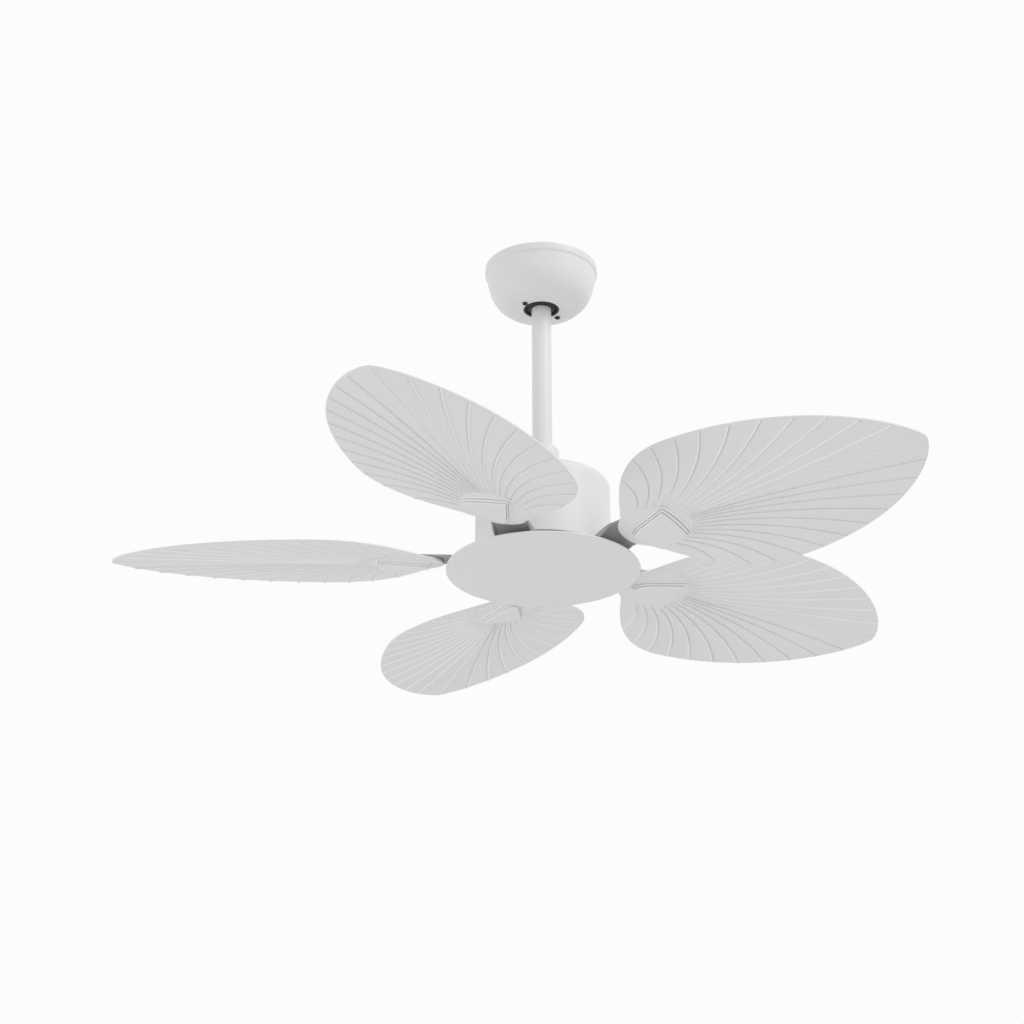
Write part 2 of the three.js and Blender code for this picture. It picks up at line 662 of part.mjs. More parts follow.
function motorHousing() {
  const holeR = YOKE_NECK_R + SCREW_CLEARANCE;
  const filletCentre = [HOUSING_R - HOUSING_FILLET, housingTop - HOUSING_FILLET];
  const shell = turned(
    [
      [HOUSING_R - HOUSING_WALL, housingRim],
      [HOUSING_R, housingRim],
      ...arc(...filletCentre, HOUSING_FILLET, 0, 90, FILLET_STEPS),
      [holeR, housingTop],
      [holeR, housingTop - HOUSING_WALL],
      ...arc(...filletCentre, HOUSING_FILLET - HOUSING_WALL, 90, 0, INNER_FILLET_STEPS),
    ],
    WIDE_SIDES,
  );
  return cut(shell, ...housingScrewHoles(housingTop - HOUSING_WALL, housingTop));
}

function fixedShaft() {
  const boreR = LEAD_R + SEAT_GAP;
  const bottom = shaftNutBottom - SHAFT_THREAD_PAST_NUT;
  const shoulder = carrierTop + SEAT_GAP;
  const shaft = turned(
    [
      [0, bottom],
      [SHAFT_THREAD_R, bottom],
      [SHAFT_THREAD_R, shoulder],
      [SHAFT_R, shoulder],
      [SHAFT_R, shaftTop],
      [boreR, shaftTop],
      [boreR, rotorMiddle],
      [0, rotorMiddle],
    ],
    SIDES,
  );
  const pinHoleEnd = SHAFT_R + CUT_PAST;
  return cut(shaft, crossCylinder(SHAFT_PIN_R + SEAT_GAP, LEAD_R, pinHoleEnd, shaftPinHeight, SMALL_SIDES));
}

// The lock pin reaches through the yoke's hub into one wall of the hollow shaft.
function shaftPin() {
  return crossCylinder(SHAFT_PIN_R, LEAD_R + SEAT_GAP * 2, YOKE_NECK_R, shaftPinHeight, SMALL_SIDES);
}

// Laminated core: a hub with T-shaped teeth.
function statorCore() {
  const mouth = STATOR_SLOT_MOUTH / 2 / statorR;
  const pitch = (2 * Math.PI) / STATOR_TEETH;
  const rootHalf = Math.asin(STATOR_TOOTH_WIDTH / 2 / STATOR_CORE_R);
  const neckHalf = Math.asin(STATOR_TOOTH_WIDTH / 2 / shoeInnerR);
  const outline = [];
  for (let tooth = 0; tooth < STATOR_TEETH; tooth++) {
    const middle = tooth * pitch;
    const corners = [
      [STATOR_CORE_R, middle - rootHalf],
      [shoeInnerR, middle - neckHalf],
      [shoeInnerR, middle - pitch / 2 + mouth],
      [statorR, middle - pitch / 2 + mouth],
      [statorR, middle],
      [statorR, middle + pitch / 2 - mouth],
      [shoeInnerR, middle + pitch / 2 - mouth],
      [shoeInnerR, middle + neckHalf],
      [STATOR_CORE_R, middle + rootHalf],
    ];
    outline.push(...corners.map(([r, a]) => [r * Math.cos(a), r * Math.sin(a)]));
  }
  const bottom = rotorMiddle - STATOR_HEIGHT / 2;
  const top = bottom + STATOR_HEIGHT;
  const bore = cylinder(SHAFT_R + SEAT_GAP, bottom - CUT_PAST, top + CUT_PAST, SIDES);
  return cut(prism(outline, bottom, top), bore);
}

// The end turns on one face of the core, as a plain ring.
function winding(bottom) {
  const top = bottom + WINDING_HEIGHT;
  return turned(
    [
      [WINDING_INNER_R, bottom],
      [windingOuterR, bottom],
      [windingOuterR, top - WINDING_ROUND],
      [windingOuterR - WINDING_ROUND, top],
      [WINDING_INNER_R + WINDING_ROUND, top],
      [WINDING_INNER_R, top - WINDING_ROUND],
    ],
    SIDES,
  );
}

function bearing(bottom) {
  return tube(BEARING_R, SHAFT_R + SEAT_GAP, bottom, bottom + BEARING_WIDTH, SIDES);
}

function discCarrier() {
  return turned(
    [
      [SHAFT_THREAD_R + SEAT_GAP, carrierTop],
      [DISC_SOCKET_R - SEAT_GAP, carrierTop],
      [DISC_SOCKET_R - SEAT_GAP, carrierBottom],
      [CARRIER_RECESS_R, carrierBottom],
      [CARRIER_RECESS_R, carrierBottom + CARRIER_RECESS_DEPTH],
      [SHAFT_THREAD_R + SEAT_GAP, carrierBottom + CARRIER_RECESS_DEPTH],
    ],
    SIDES,
  );
}

function shaftNut() {
  return cut(
    cylinder(SHAFT_NUT_R, shaftNutBottom, shaftNutTop, 6),
    cylinder(SHAFT_THREAD_R + SEAT_GAP, shaftNutBottom - CUT_PAST, shaftNutTop + CUT_PAST, SIDES),
  );
}

// A thin round plate with a socket wall on top that grips the carrier.
function coverDisc() {
  const socketOuterR = DISC_SOCKET_R + DISC_SOCKET_WALL;
  const edge = arc(0, 0, 1, -90, 90, FILLET_STEPS).map(([across, up]) => [
    DISC_R - DISC_EDGE + DISC_EDGE * across,
    (discFace + discTop + DISC_THICKNESS * up) / 2,
  ]);
  return turned(
    [
      [0, discFace],
      ...edge,
      [socketOuterR, discTop],
      [socketOuterR, discTop + DISC_SOCKET_HEIGHT],
      [DISC_SOCKET_R, discTop + DISC_SOCKET_HEIGHT],
      [DISC_SOCKET_R, discTop],
      [0, discTop],
    ],
    WIDE_SIDES,
  );
}

// The lead runs up the hollow shaft, bends aside in the yoke and runs up the rod past both pins.
function motorLead() {
  const bendStart = shaftTop;
  const bendEnd = clevisPinHeight - CLEVIS_PIN_R - SEAT_GAP;
  const bendMiddle = (bendStart + bendEnd) / 2;
  const at = (y, z) => new THREE.Vector3(0, y, z);
  const route = new THREE.CurvePath();
  route.add(new THREE.LineCurve3(at(0, rotorMiddle + SEAT_GAP), at(0, bendStart)));
  route.add(
    new THREE.CubicBezierCurve3(
      at(0, bendStart), at(0, bendMiddle), at(leadAside, bendMiddle), at(leadAside, bendEnd),
    ),
  );
  route.add(new THREE.LineCurve3(at(leadAside, bendEnd), at(leadAside, leadTop)));
  return along(route, LEAD_R, 6, 40);
}

function leadPlug() {
  const [length, width, height] = LEAD_PLUG_SIZE;
  const bottom = leadTop + SEAT_GAP;
  return box(length, width, bottom, bottom + height).translate(0, leadAside, 0);
}

function hangingSide() {
  const group = new THREE.Group();
  const turnedSet = new THREE.Group();
  turnedSet.rotation.z = radians(CANOPY_TURN_DEG);
  turnedSet.add(named("motor_yoke", motorYoke(), plainSteel()));
  turnedSet.add(named("clevis_pin", clevisPin(), plainSteel()));
  turnedSet.add(named("clevis_cotter", clevisCotter(), plainSteel()));
  const setScrewEnd = YOKE_NECK_R + SET_SCREW_PROUD;
  const setScrew = crossCylinder(SET_SCREW_R, ROD_R + SEAT_GAP, setScrewEnd, setScrewHeight, SMALL_SIDES);
  turnedSet.add(named("rod_set_screw", setScrew.rotateZ(Math.PI / 2), blackSteel()));
  turnedSet.add(named("shaft_lock_pin", shaftPin(), plainSteel()));
  turnedSet.add(named("fixed_shaft", fixedShaft(), plainSteel()));
  turnedSet.add(named("motor_lead", motorLead(), blackPlastic()));
  turnedSet.add(named("lead_plug", leadPlug(), whitePlastic()));
  turnedSet.add(named("motor_housing", motorHousing(), whitePaint()));
  housingScrewPlaces.forEach(([x, y], i) => {
    const shape = panScrew(HOUSING_SCREW_R, HOUSING_SCREW_LENGTH);
    const screw = named("housing_screw_" + (i + 1), shape, plainSteel());
    screw.position.set(x, y, housingTop + SEAT_GAP);
    turnedSet.add(screw);
  });
  group.add(turnedSet);
  group.add(named("coupling_cover", couplingCover(), whitePlastic()));
  const statorHalf = STATOR_HEIGHT / 2;
  group.add(named("stator_core", statorCore(), electricalSteel()));
  group.add(named("winding_upper", winding(rotorMiddle + statorHalf + SEAT_GAP), copper()));
  const lowerWinding = winding(0).rotateX(Math.PI);
  lowerWinding.translate(0, 0, rotorMiddle - statorHalf - SEAT_GAP);
  group.add(named("winding_lower", lowerWinding, copper()));
  group.add(named("bearing_lower", bearing(lowerBearingBottom), plainSteel()));
  group.add(named("bearing_upper", bearing(upperBearingTop - BEARING_WIDTH), plainSteel()));
  group.add(named("disc_carrier", discCarrier(), whitePlastic()));
  group.add(named("shaft_nut", shaftNut(), plainSteel()));
  group.add(named("cover_disc", coverDisc(), whitePaint()));
  return group;
}

// ---- Rotor: covers, ring, hub plate, arms, blades, medallions -----------------------------

// A rotor cover from its outer face up: a web, an outer wall and a bearing hub.
function rotorCover() {
  return turned(
    [
      [BEARING_LIP_R, 0],
      [rotorR, 0],
      [rotorR, ROTOR_COVER_HEIGHT],
      [rotorR - ROTOR_WALL, ROTOR_COVER_HEIGHT],
      [rotorR - ROTOR_WALL, ROTOR_WEB],
      [BEARING_R + SEAT_GAP + ROTOR_HUB_WALL, ROTOR_WEB],
      [BEARING_R + SEAT_GAP + ROTOR_HUB_WALL, ROTOR_WEB + BEARING_WIDTH],
      [BEARING_R + SEAT_GAP, ROTOR_WEB + BEARING_WIDTH],
      [BEARING_R + SEAT_GAP, ROTOR_WEB],
      [BEARING_LIP_R, ROTOR_WEB],
    ],
    SIDES,
  );
}

function bladeAngle(number) {
  return radians(FIRST_BLADE_DEG + ((number - 1) * 360) / BLADE_COUNT);
}

const everyBlade = Array.from({ length: BLADE_COUNT }, (_, i) => i + 1);

// Both screw holes of one arm that lies along X, over a stretch of height.
function armHoles(bottom, top) {
  return ARM_SCREW_FROM_AXIS.map((x) => screwHole(ARM_SCREW_R, x, 0, bottom, top));
}

// The screw holes of all the arms.
function allArmHoles(bottom, top) {
  return everyBlade.flatMap((number) =>
    armHoles(bottom, top).map((hole) => hole.rotateZ(bladeAngle(number))),
  );
}

function lowerCover() {
  const depth = ARM_SCREW_LENGTH - ARM_THICKNESS - HUB_PLATE_THICKNESS;
  return cut(
    rotorCover().translate(0, 0, lowerCoverBottom),
    ...allArmHoles(lowerCoverBottom - CUT_PAST, lowerCoverBottom + depth),
  );
}

function upperCover() {
  return rotorCover().rotateX(Math.PI).translate(0, 0, upperCoverTop);
}

function hubPlate() {
  return cut(
    tube(hubPlateR, HUB_PLATE_HOLE_R, hubPlateBottom, hubPlateTop, WIDE_SIDES),
    ...allArmHoles(hubPlateBottom - CUT_PAST, hubPlateTop + CUT_PAST),
  );
}

// From the blade's own plane, u outwards, v across and w up, to the spoke's axes.
const bladePlane = new THREE.Matrix4()
  .makeRotationY(-radians(BLADE_RISE_DEG))
  .multiply(new THREE.Matrix4().makeRotationX(-radians(BLADE_PITCH_DEG)))
  .setPosition(0, 0, discFace + BLADE_PLANE_HEIGHT);

function smooth(from, to, value) {
  return THREE.MathUtils.smoothstep(value, from, to);
}

// A point of an arm: flat under the hub plate, in the blade's plane past the neck.
function armPoint(u, v, w) {
  const flat = new THREE.Vector3(u, v, armTabBottom + w);
  const pitched = new THREE.Vector3(u, v, BLADE_THICKNESS + SEAT_GAP + w).applyMatrix4(bladePlane);
  return flat.lerp(pitched, smooth(ARM_NECK_START, armNeckEnd, u));
}

function armHalfWidth(u) {
  const roundStart = ARM_PAD_END - ARM_PAD_HALF_WIDTH;
  if (u > roundStart) {
    const intoRound = Math.min((u - roundStart) / ARM_PAD_HALF_WIDTH, 1);
    return Math.max(ARM_PAD_HALF_WIDTH * Math.sqrt(1 - intoRound ** 2), 2 * ARM_FLANGE_THICKNESS);
  }
  if (u > armNeckEnd) {
    const intoPad = smooth(armNeckEnd, roundStart, u);
    return THREE.MathUtils.lerp(ARM_NECK_HALF_WIDTH, ARM_PAD_HALF_WIDTH, intoPad);
  }
  const intoNeck = smooth(ARM_START, (ARM_NECK_START + armNeckEnd) / 2, u);
  return THREE.MathUtils.lerp(ARM_TAB_HALF_WIDTH, ARM_NECK_HALF_WIDTH, intoNeck);
}

// Flanges hang from the neck alone, deepest at its middle.
function armFlangeDepth(u) {
  const middle = (ARM_NECK_START + armNeckEnd) / 2;
  return ARM_FLANGE_DEPTH * smooth(ARM_NECK_START, middle, u) * (1 - smooth(middle, armNeckEnd, u));
}

// Eight points round the arm's section at u: a channel open downwards.
function armSection(u) {
  const half = armHalfWidth(u);
  const depth = armFlangeDepth(u);
  const inner = half - ARM_FLANGE_THICKNESS;
  return [
    [-half, -depth],
    [-half, ARM_THICKNESS],
    [half, ARM_THICKNESS],
    [half, -depth],
    [inner, -depth],
    [inner - ARM_FLANGE_CHAMFER, 0],
    [-inner + ARM_FLANGE_CHAMFER, 0],
    [-inner, -depth],
  ].map(([v, w]) => armPoint(u, v, w));
}

// A closed mesh through a row of arm sections, each clockwise seen from the outer end.
function loft(sections) {
  const ring = sections[0].length;
  const index = [];
  for (let s = 0; s + 1 < sections.length; s++) {
    for (let i = 0; i < ring; i++) {
      const a = s * ring + i;
      const b = s * ring + ((i + 1) % ring);
      index.push(a, a + ring, b, b, a + ring, b + ring);
    }
  }
  const last = (sections.length - 1) * ring;
  for (const [a, b, c] of [[0, 1, 6], [0, 6, 7], [1, 2, 5], [1, 5, 6], [2, 3, 4], [2, 4, 5]]) {
    index.push(a, b, c);
    index.push(last + a, last + c, last + b);
  }
  const positions = sections.flat().flatMap((point) => point.toArray());
  return new THREE.BufferGeometry()
    .setAttribute("position", new THREE.Float32BufferAttribute(positions, 3))
    .setIndex(index);
}

// Where the arm's sections stand: along the tab, the neck, the pad and the pad's round end.
function armStations() {
  const roundStart = ARM_PAD_END - ARM_PAD_HALF_WIDTH;
  const spread = (from, to, steps) =>
    Array.from({ length: steps }, (_, i) => THREE.MathUtils.lerp(from, to, i / steps));
  return [
    ...spread(ARM_START, ARM_NECK_START, 2),
    ...spread(ARM_NECK_START, armNeckEnd, 5),
    ...spread(armNeckEnd, roundStart, 2),
    ...arc(roundStart, 0, ARM_PAD_HALF_WIDTH, 90, 0, 4).map(([u]) => u),
  ];
}

function bladeArm() {
  const holes = armHoles(armTabBottom - CUT_PAST, armTabBottom + ARM_THICKNESS + CUT_PAST);
  return cut(loft(armStations().map(armSection)), ...holes);
}

// ---- Leaf: outline and ribs in the blade's plane ------------------------------------------

// A point beside the leaf's neck, along the rim's direction there.
function besideNeck(distance) {
  const slant = radians(LEAF_NECK_SLANT_DEG);
  return new THREE.Vector2(
    LEAF_NECK + distance * Math.cos(slant),
    LEAF_NECK_HALF_WIDTH + distance * Math.sin(slant),
  );
}

const leafHalf = new THREE.CurvePath();
leafHalf.add(
  new THREE.CubicBezierCurve(
    new THREE.Vector2(LEAF_ROOT, 0),
    new THREE.Vector2(LEAF_ROOT, LEAF_ROOT_ROUNDING),
    besideNeck(-LEAF_NECK_ROUNDING),
    besideNeck(0),
  ),
);
leafHalf.add(
  new THREE.CubicBezierCurve(
    besideNeck(0),
    besideNeck(LEAF_NECK_FLARE),
    new THREE.Vector2(LEAF_WIDEST - LEAF_INNER_FULLNESS, LEAF_HALF_WIDTH),
    new THREE.Vector2(LEAF_WIDEST, LEAF_HALF_WIDTH),
  ),
);
leafHalf.add(
  new THREE.CubicBezierCurve(
    new THREE.Vector2(LEAF_WIDEST, LEAF_HALF_WIDTH),
    new THREE.Vector2(LEAF_WIDEST + LEAF_OUTER_FULLNESS, LEAF_HALF_WIDTH),
    new THREE.Vector2(LEAF_TIP, LEAF_TIP_ROUNDING),
    new THREE.Vector2(LEAF_TIP, 0),
  ),
);
const leafHalfLength = leafHalf.getLength();

// A point of the leaf's rim, by its distance along the rim from the root; side is 1 or -1.
function rimPoint(distance, side) {
  const point = leafHalf.getPointAt(Math.min(distance / leafHalfLength, 1));
  return new THREE.Vector2(point.x, side * point.y);
}

// Where rib k of a side meets the rim; rib 0 is the midrib, which meets it at the tip.
function ribRimDistance(k) {
  if (k === 0) return leafHalfLength;
  if (k === RIBS_PER_SIDE) return RIM_TO_FIRST_RIB;
  const spaces = RIBS_PER_SIDE - 1 - k;
  const close = Math.min(spaces, CLOSE_RIBS);
  return RIM_TO_SECOND_RIB + close * CLOSE_RIB_PITCH + (spaces - close) * RIB_PITCH;
}

// A rib's centreline, as a bowed curve from the fan's ellipse to the rim.
function ribCurve(k, side) {
  const angle = radians(RIB_FAN_HALF_ANGLE_DEG) * (k / RIBS_PER_SIDE) ** RIB_FAN_CROWDING;
  const start = new THREE.Vector2(
    RIB_FAN_CENTRE + RIB_FAN_LENGTH * Math.cos(angle),
    side * RIB_FAN_HALF_WIDTH * Math.sin(angle),
  );
  const end = rimPoint(ribRimDistance(k), side);
  const chord = end.clone().sub(start);
  const bow = RIB_BEND * Math.abs(chord.y);
  const normal = new THREE.Vector2(chord.y, -chord.x).normalize().multiplyScalar(side * bow);
  return new THREE.QuadraticBezierCurve(start, start.clone().lerp(end, 0.5).add(normal), end);
}

const RIB_STATIONS = 4;

function ribHalfWidth(t) {
  return THREE.MathUtils.lerp(RIB_START_HALF_WIDTH, RIB_HALF_WIDTH, t * (2 - t));
}

// The three lines of a rib, foot, crest and foot, each from the fan's ellipse to the rim.
function ribLines(k, side) {
  const curve = ribCurve(k, side);
  const distance = ribRimDistance(k);
  const lines = [-1, 0, 1].map((offset) =>
    Array.from({ length: RIB_STATIONS }, (_, i) => {
      const t = i / (RIB_STATIONS - 1);
      const across = curve.getTangent(t).rotateAround(new THREE.Vector2(), Math.PI / 2);
      const height = offset === 0 && i > 0 ? RIB_HEIGHT : 0;
      const place = i === RIB_STATIONS - 1
        ? ribFootOnRim(k, side, distance, offset)
        : curve.getPoint(t).addScaledVector(across, offset * ribHalfWidth(t));
      return { place, height };
    }),
  );
  return lines;
}

// A rib's lines end exactly on the rim, the feet half a rib's width either side of the crest.
function ribFootOnRim(k, side, distance, offset) {
  if (k === 0) {
    const back = offset === 0 ? 0 : RIB_HALF_WIDTH;
    return rimPoint(distance - back, offset === 0 ? 1 : offset);
  }
  return rimPoint(distance - side * offset * RIB_HALF_WIDTH, side);
}

// A leaf: ribbed underside at w = 0, flat top, and a rim wall between the two.
function leafBlade() {
  const ribs = [];
  for (let k = RIBS_PER_SIDE; k >= 1; k--) ribs.push(ribLines(k, -1));
  for (let k = 0; k <= RIBS_PER_SIDE; k++) ribs.push(ribLines(k, 1));

  const positions = [];
  const index = [];
  const add = (place, w) => {
    positions.push(place.x, place.y, w);
    return positions.length / 3 - 1;
  };
  const ribIds = ribs.map((lines) =>
    lines.map((line) => line.map(({ place, height }) => add(place, -height))),
  );

  // Rib flanks.
  for (const [left, crest, right] of ribIds) {
    for (const [a, b] of [[left, crest], [crest, right]]) {
      for (let i = 0; i + 1 < RIB_STATIONS; i++) {
        index.push(a[i], b[i], b[i + 1], a[i], b[i + 1], a[i + 1]);
      }
    }
  }

  // Flat panels between ribs, and the rim points that they add.
  const placeOf = (id) => new THREE.Vector2(positions[id * 3], positions[id * 3 + 1]);
  const fill = (loop) => {
    for (const face of THREE.ShapeUtils.triangulateShape(loop.map(placeOf), [])) {
      const [p, q, r] = face.map((i) => placeOf(loop[i]));
      const area = (q.x - p.x) * (r.y - p.y) - (r.x - p.x) * (q.y - p.y);
      const ids = face.map((i) => loop[i]);
      index.push(...(area < 0 ? ids : ids.reverse()));
    }
  };
  const rim = [];
  ribIds.forEach(([left, crest, right], i) => {
    rim.push(left.at(-1), crest.at(-1), right.at(-1));
    if (i + 1 === ribIds.length) return;
    const side = i < RIBS_PER_SIDE ? -1 : 1;
    const here = ribRimDistance(Math.abs(RIBS_PER_SIDE - i));
    const there = ribRimDistance(Math.abs(RIBS_PER_SIDE - i - 1));
    const extra = Math.max(here, there) === leafHalfLength ? 2 : 1;
    const between = Array.from({ length: extra }, (_, j) =>
      add(rimPoint(here + ((there - here) * (j + 1)) / (extra + 1), side), 0),
    );
    rim.push(...between);
    fill([...right, ...between, ...[...ribIds[i + 1][0]].reverse()]);
  });

  // The plain root, from the last rib's foot round the root to the first rib's foot.
  const rootSteps = 12;
  const firstRib = ribRimDistance(RIBS_PER_SIDE);
  const rootPoints = [];
  for (let i = rootSteps - 1; i > -rootSteps; i--) {
    const point = rimPoint((Math.abs(i) / rootSteps) * firstRib, i < 0 ? -1 : 1);
    rootPoints.push(add(point, 0));
  }
  rim.push(...rootPoints);
  const starts = ribIds.flatMap(([left, crest, right]) => [left[0], crest[0], right[0]]);
  const firstFoot = ribIds[0][0];
  const lastFoot = ribIds.at(-1)[2];
  fill([...firstFoot.slice(1).reverse(), ...starts, ...lastFoot.slice(1), ...rootPoints]);

  // Top face and rim wall.
  const topRim = rim.map((id) => add(placeOf(id), BLADE_THICKNESS));
  const topFaces = THREE.ShapeUtils.triangulateShape(topRim.map(placeOf), []);
  for (const face of topFaces) {
    const [p, q, r] = face.map((i) => placeOf(topRim[i]));
    const area = (q.x - p.x) * (r.y - p.y) - (r.x - p.x) * (q.y - p.y);
    const ids = face.map((i) => topRim[i]);
    index.push(...(area > 0 ? ids : ids.reverse()));
  }
  rim.forEach((id, i) => {
    const next = (i + 1) % rim.length;
    index.push(id, rim[next], topRim[next], id, topRim[next], topRim[i]);
  });
  return new THREE.BufferGeometry()
    .setAttribute("position", new THREE.Float32BufferAttribute(positions, 3))
    .setIndex(index);
}

// A convex outline, anticlockwise, with all its edges moved in by an inset.
function drawnIn(outline, inset) {
  const points = outline.map(([x, y]) => new THREE.Vector2(x, y));
  const quarter = Math.PI / 2;
  const centre = new THREE.Vector2();
  return points.map((point, i) => {
    const before = point.clone().sub(points.at(i - 1)).normalize();
    const after = points[(i + 1) % points.length].clone().sub(point).normalize();
    const inwards = before.clone().add(after).normalize().rotateAround(centre, quarter);
    const reach = inset / inwards.dot(before.rotateAround(centre, quarter));
    return point.addScaledVector(inwards, reach).toArray();
  });
}

// The medallion's outline: narrow at the root, widest at the shoulders, and bowed at the tip.
function medallionOutline(bow) {
  const steps = 6;
  const tipEdge = Array.from({ length: steps + 1 }, (_, i) => {
    const across = (2 * i) / steps - 1;
    return [MEDALLION_SHOULDER + bow * (1 - across ** 2), MEDALLION_HALF_WIDTH * across];
  });
  return [
    [MEDALLION_ROOT, -MEDALLION_ROOT_HALF_WIDTH],
    [MEDALLION_NECK, -MEDALLION_NECK_HALF_WIDTH],
    ...tipEdge,
    [MEDALLION_NECK, MEDALLION_NECK_HALF_WIDTH],
    [MEDALLION_ROOT, MEDALLION_ROOT_HALF_WIDTH],
  ];
}

// Each step reaches up into the one above it, so that they join into one piece.
function medallion() {
  const steps = Array.from({ length: MEDALLION_STEPS }, (_, i) => {
    const bow = MEDALLION_BOW * (1 - i / MEDALLION_STEPS);
    const outline = drawnIn(medallionOutline(bow), i * MEDALLION_STEP_WIDTH);
    return prism(outline, -SEAT_GAP - (i + 1) * MEDALLION_STEP_HEIGHT, -SEAT_GAP - i * MEDALLION_STEP_LAP);
  });
  return join(...steps);
}

function rotorSide() {
  const group = new THREE.Group();
  group.add(named("rotor_cover_lower", lowerCover(), greyCasting()));
  group.add(named("rotor_cover_upper", upperCover(), greyCasting()));
  const ringTop = rotorRingBottom + ROTOR_RING_HEIGHT;
  const ring = tube(rotorR, rotorR - ROTOR_RING_WALL, rotorRingBottom, ringTop, SIDES);
  group.add(named("rotor_ring", ring, electricalSteel()));
  group.add(named("hub_plate", hubPlate(), blackSteel()));
  for (const number of everyBlade) {
    const spoke = new THREE.Group();
    spoke.rotation.z = bladeAngle(number);
    spoke.add(named("blade_arm_" + number, bladeArm(), greyCasting()));
    ARM_SCREW_FROM_AXIS.forEach((x, i) => {
      const shape = panScrew(ARM_SCREW_R, ARM_SCREW_LENGTH);
      const screw = named("arm_screw_" + number + "ab"[i], shape, plainSteel());
      screw.rotation.x = Math.PI;
      screw.position.set(x, 0, armTabBottom - SEAT_GAP);
      spoke.add(screw);
    });
    const plane = new THREE.Group();
    plane.applyMatrix4(bladePlane);
    plane.add(named("blade_" + number, leafBlade(), whitePlastic()));
    plane.add(named("blade_medallion_" + number, medallion(), whitePlastic()));
    spoke.add(plane);
    group.add(spoke);
  }
  return group;
}

// ---- The whole fan ------------------------------------------------------------------------

const ceilingFan = new THREE.Group();
ceilingFan.add(ceilingSide(), ballJoint(), hangingSide(), rotorSide());

export default ceilingFan;
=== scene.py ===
"""Looks of a white ceiling fan: five ribbed palm-leaf blades, a drum motor, a downrod and a canopy.

Sizes are in millimetres, and turn into metres where a mesh is made. The stage is in metres.
"""

import json
import math

import bmesh
import bpy
from mathutils import Matrix, Vector


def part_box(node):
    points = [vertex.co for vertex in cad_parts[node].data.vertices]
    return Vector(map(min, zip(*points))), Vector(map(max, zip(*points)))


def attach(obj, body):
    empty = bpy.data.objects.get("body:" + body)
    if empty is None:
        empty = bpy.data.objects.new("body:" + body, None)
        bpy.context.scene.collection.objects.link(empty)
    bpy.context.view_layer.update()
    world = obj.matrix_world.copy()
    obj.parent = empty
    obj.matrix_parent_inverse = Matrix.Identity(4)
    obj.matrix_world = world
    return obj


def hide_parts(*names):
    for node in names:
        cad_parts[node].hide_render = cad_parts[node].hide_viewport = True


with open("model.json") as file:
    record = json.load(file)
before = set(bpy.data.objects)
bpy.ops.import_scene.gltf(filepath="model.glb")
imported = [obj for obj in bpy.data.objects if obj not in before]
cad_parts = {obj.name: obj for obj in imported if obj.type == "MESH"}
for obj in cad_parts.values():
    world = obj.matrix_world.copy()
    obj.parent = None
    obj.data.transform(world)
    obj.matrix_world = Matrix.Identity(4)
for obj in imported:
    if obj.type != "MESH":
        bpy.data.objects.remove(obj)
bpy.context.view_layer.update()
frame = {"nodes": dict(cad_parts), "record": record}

MM = 0.001
SEAT_GAP = 0.3  # between seated pieces
EDGE = 0.5  # rounding of plain edges

# Sides of the round pieces.
DISC_SIDES = 192
WIDE_SIDES = 144
SLIM_SIDES = 96


# ---- Materials ----------------------------------------------------------------------------

NOISE_LOW, NOISE_HIGH = 0.3, 0.7  # where most of a noise texture's values lie
ROUGHNESS_SPREAD = 0.1


def link_noise(tree, coordinates, scale, detail):
    """A noise texture on the given coordinates; returns its value socket."""
    noise = tree.nodes.new("ShaderNodeTexNoise")
    noise.inputs["Scale"].default_value = scale
    noise.inputs["Detail"].default_value = detail
    tree.links.new(coordinates, noise.inputs["Vector"])
    return noise.outputs["Fac"]


def remapped(tree, value, low, high):
    """A noise texture's value, spread from low to high."""
    spread = tree.nodes.new("ShaderNodeMapRange")
    spread.inputs["From Min"].default_value = NOISE_LOW
    spread.inputs["From Max"].default_value = NOISE_HIGH
    spread.inputs["To Min"].default_value = low
    spread.inputs["To Max"].default_value = high
    tree.links.new(value, spread.inputs["Value"])
    return spread.outputs["Result"]


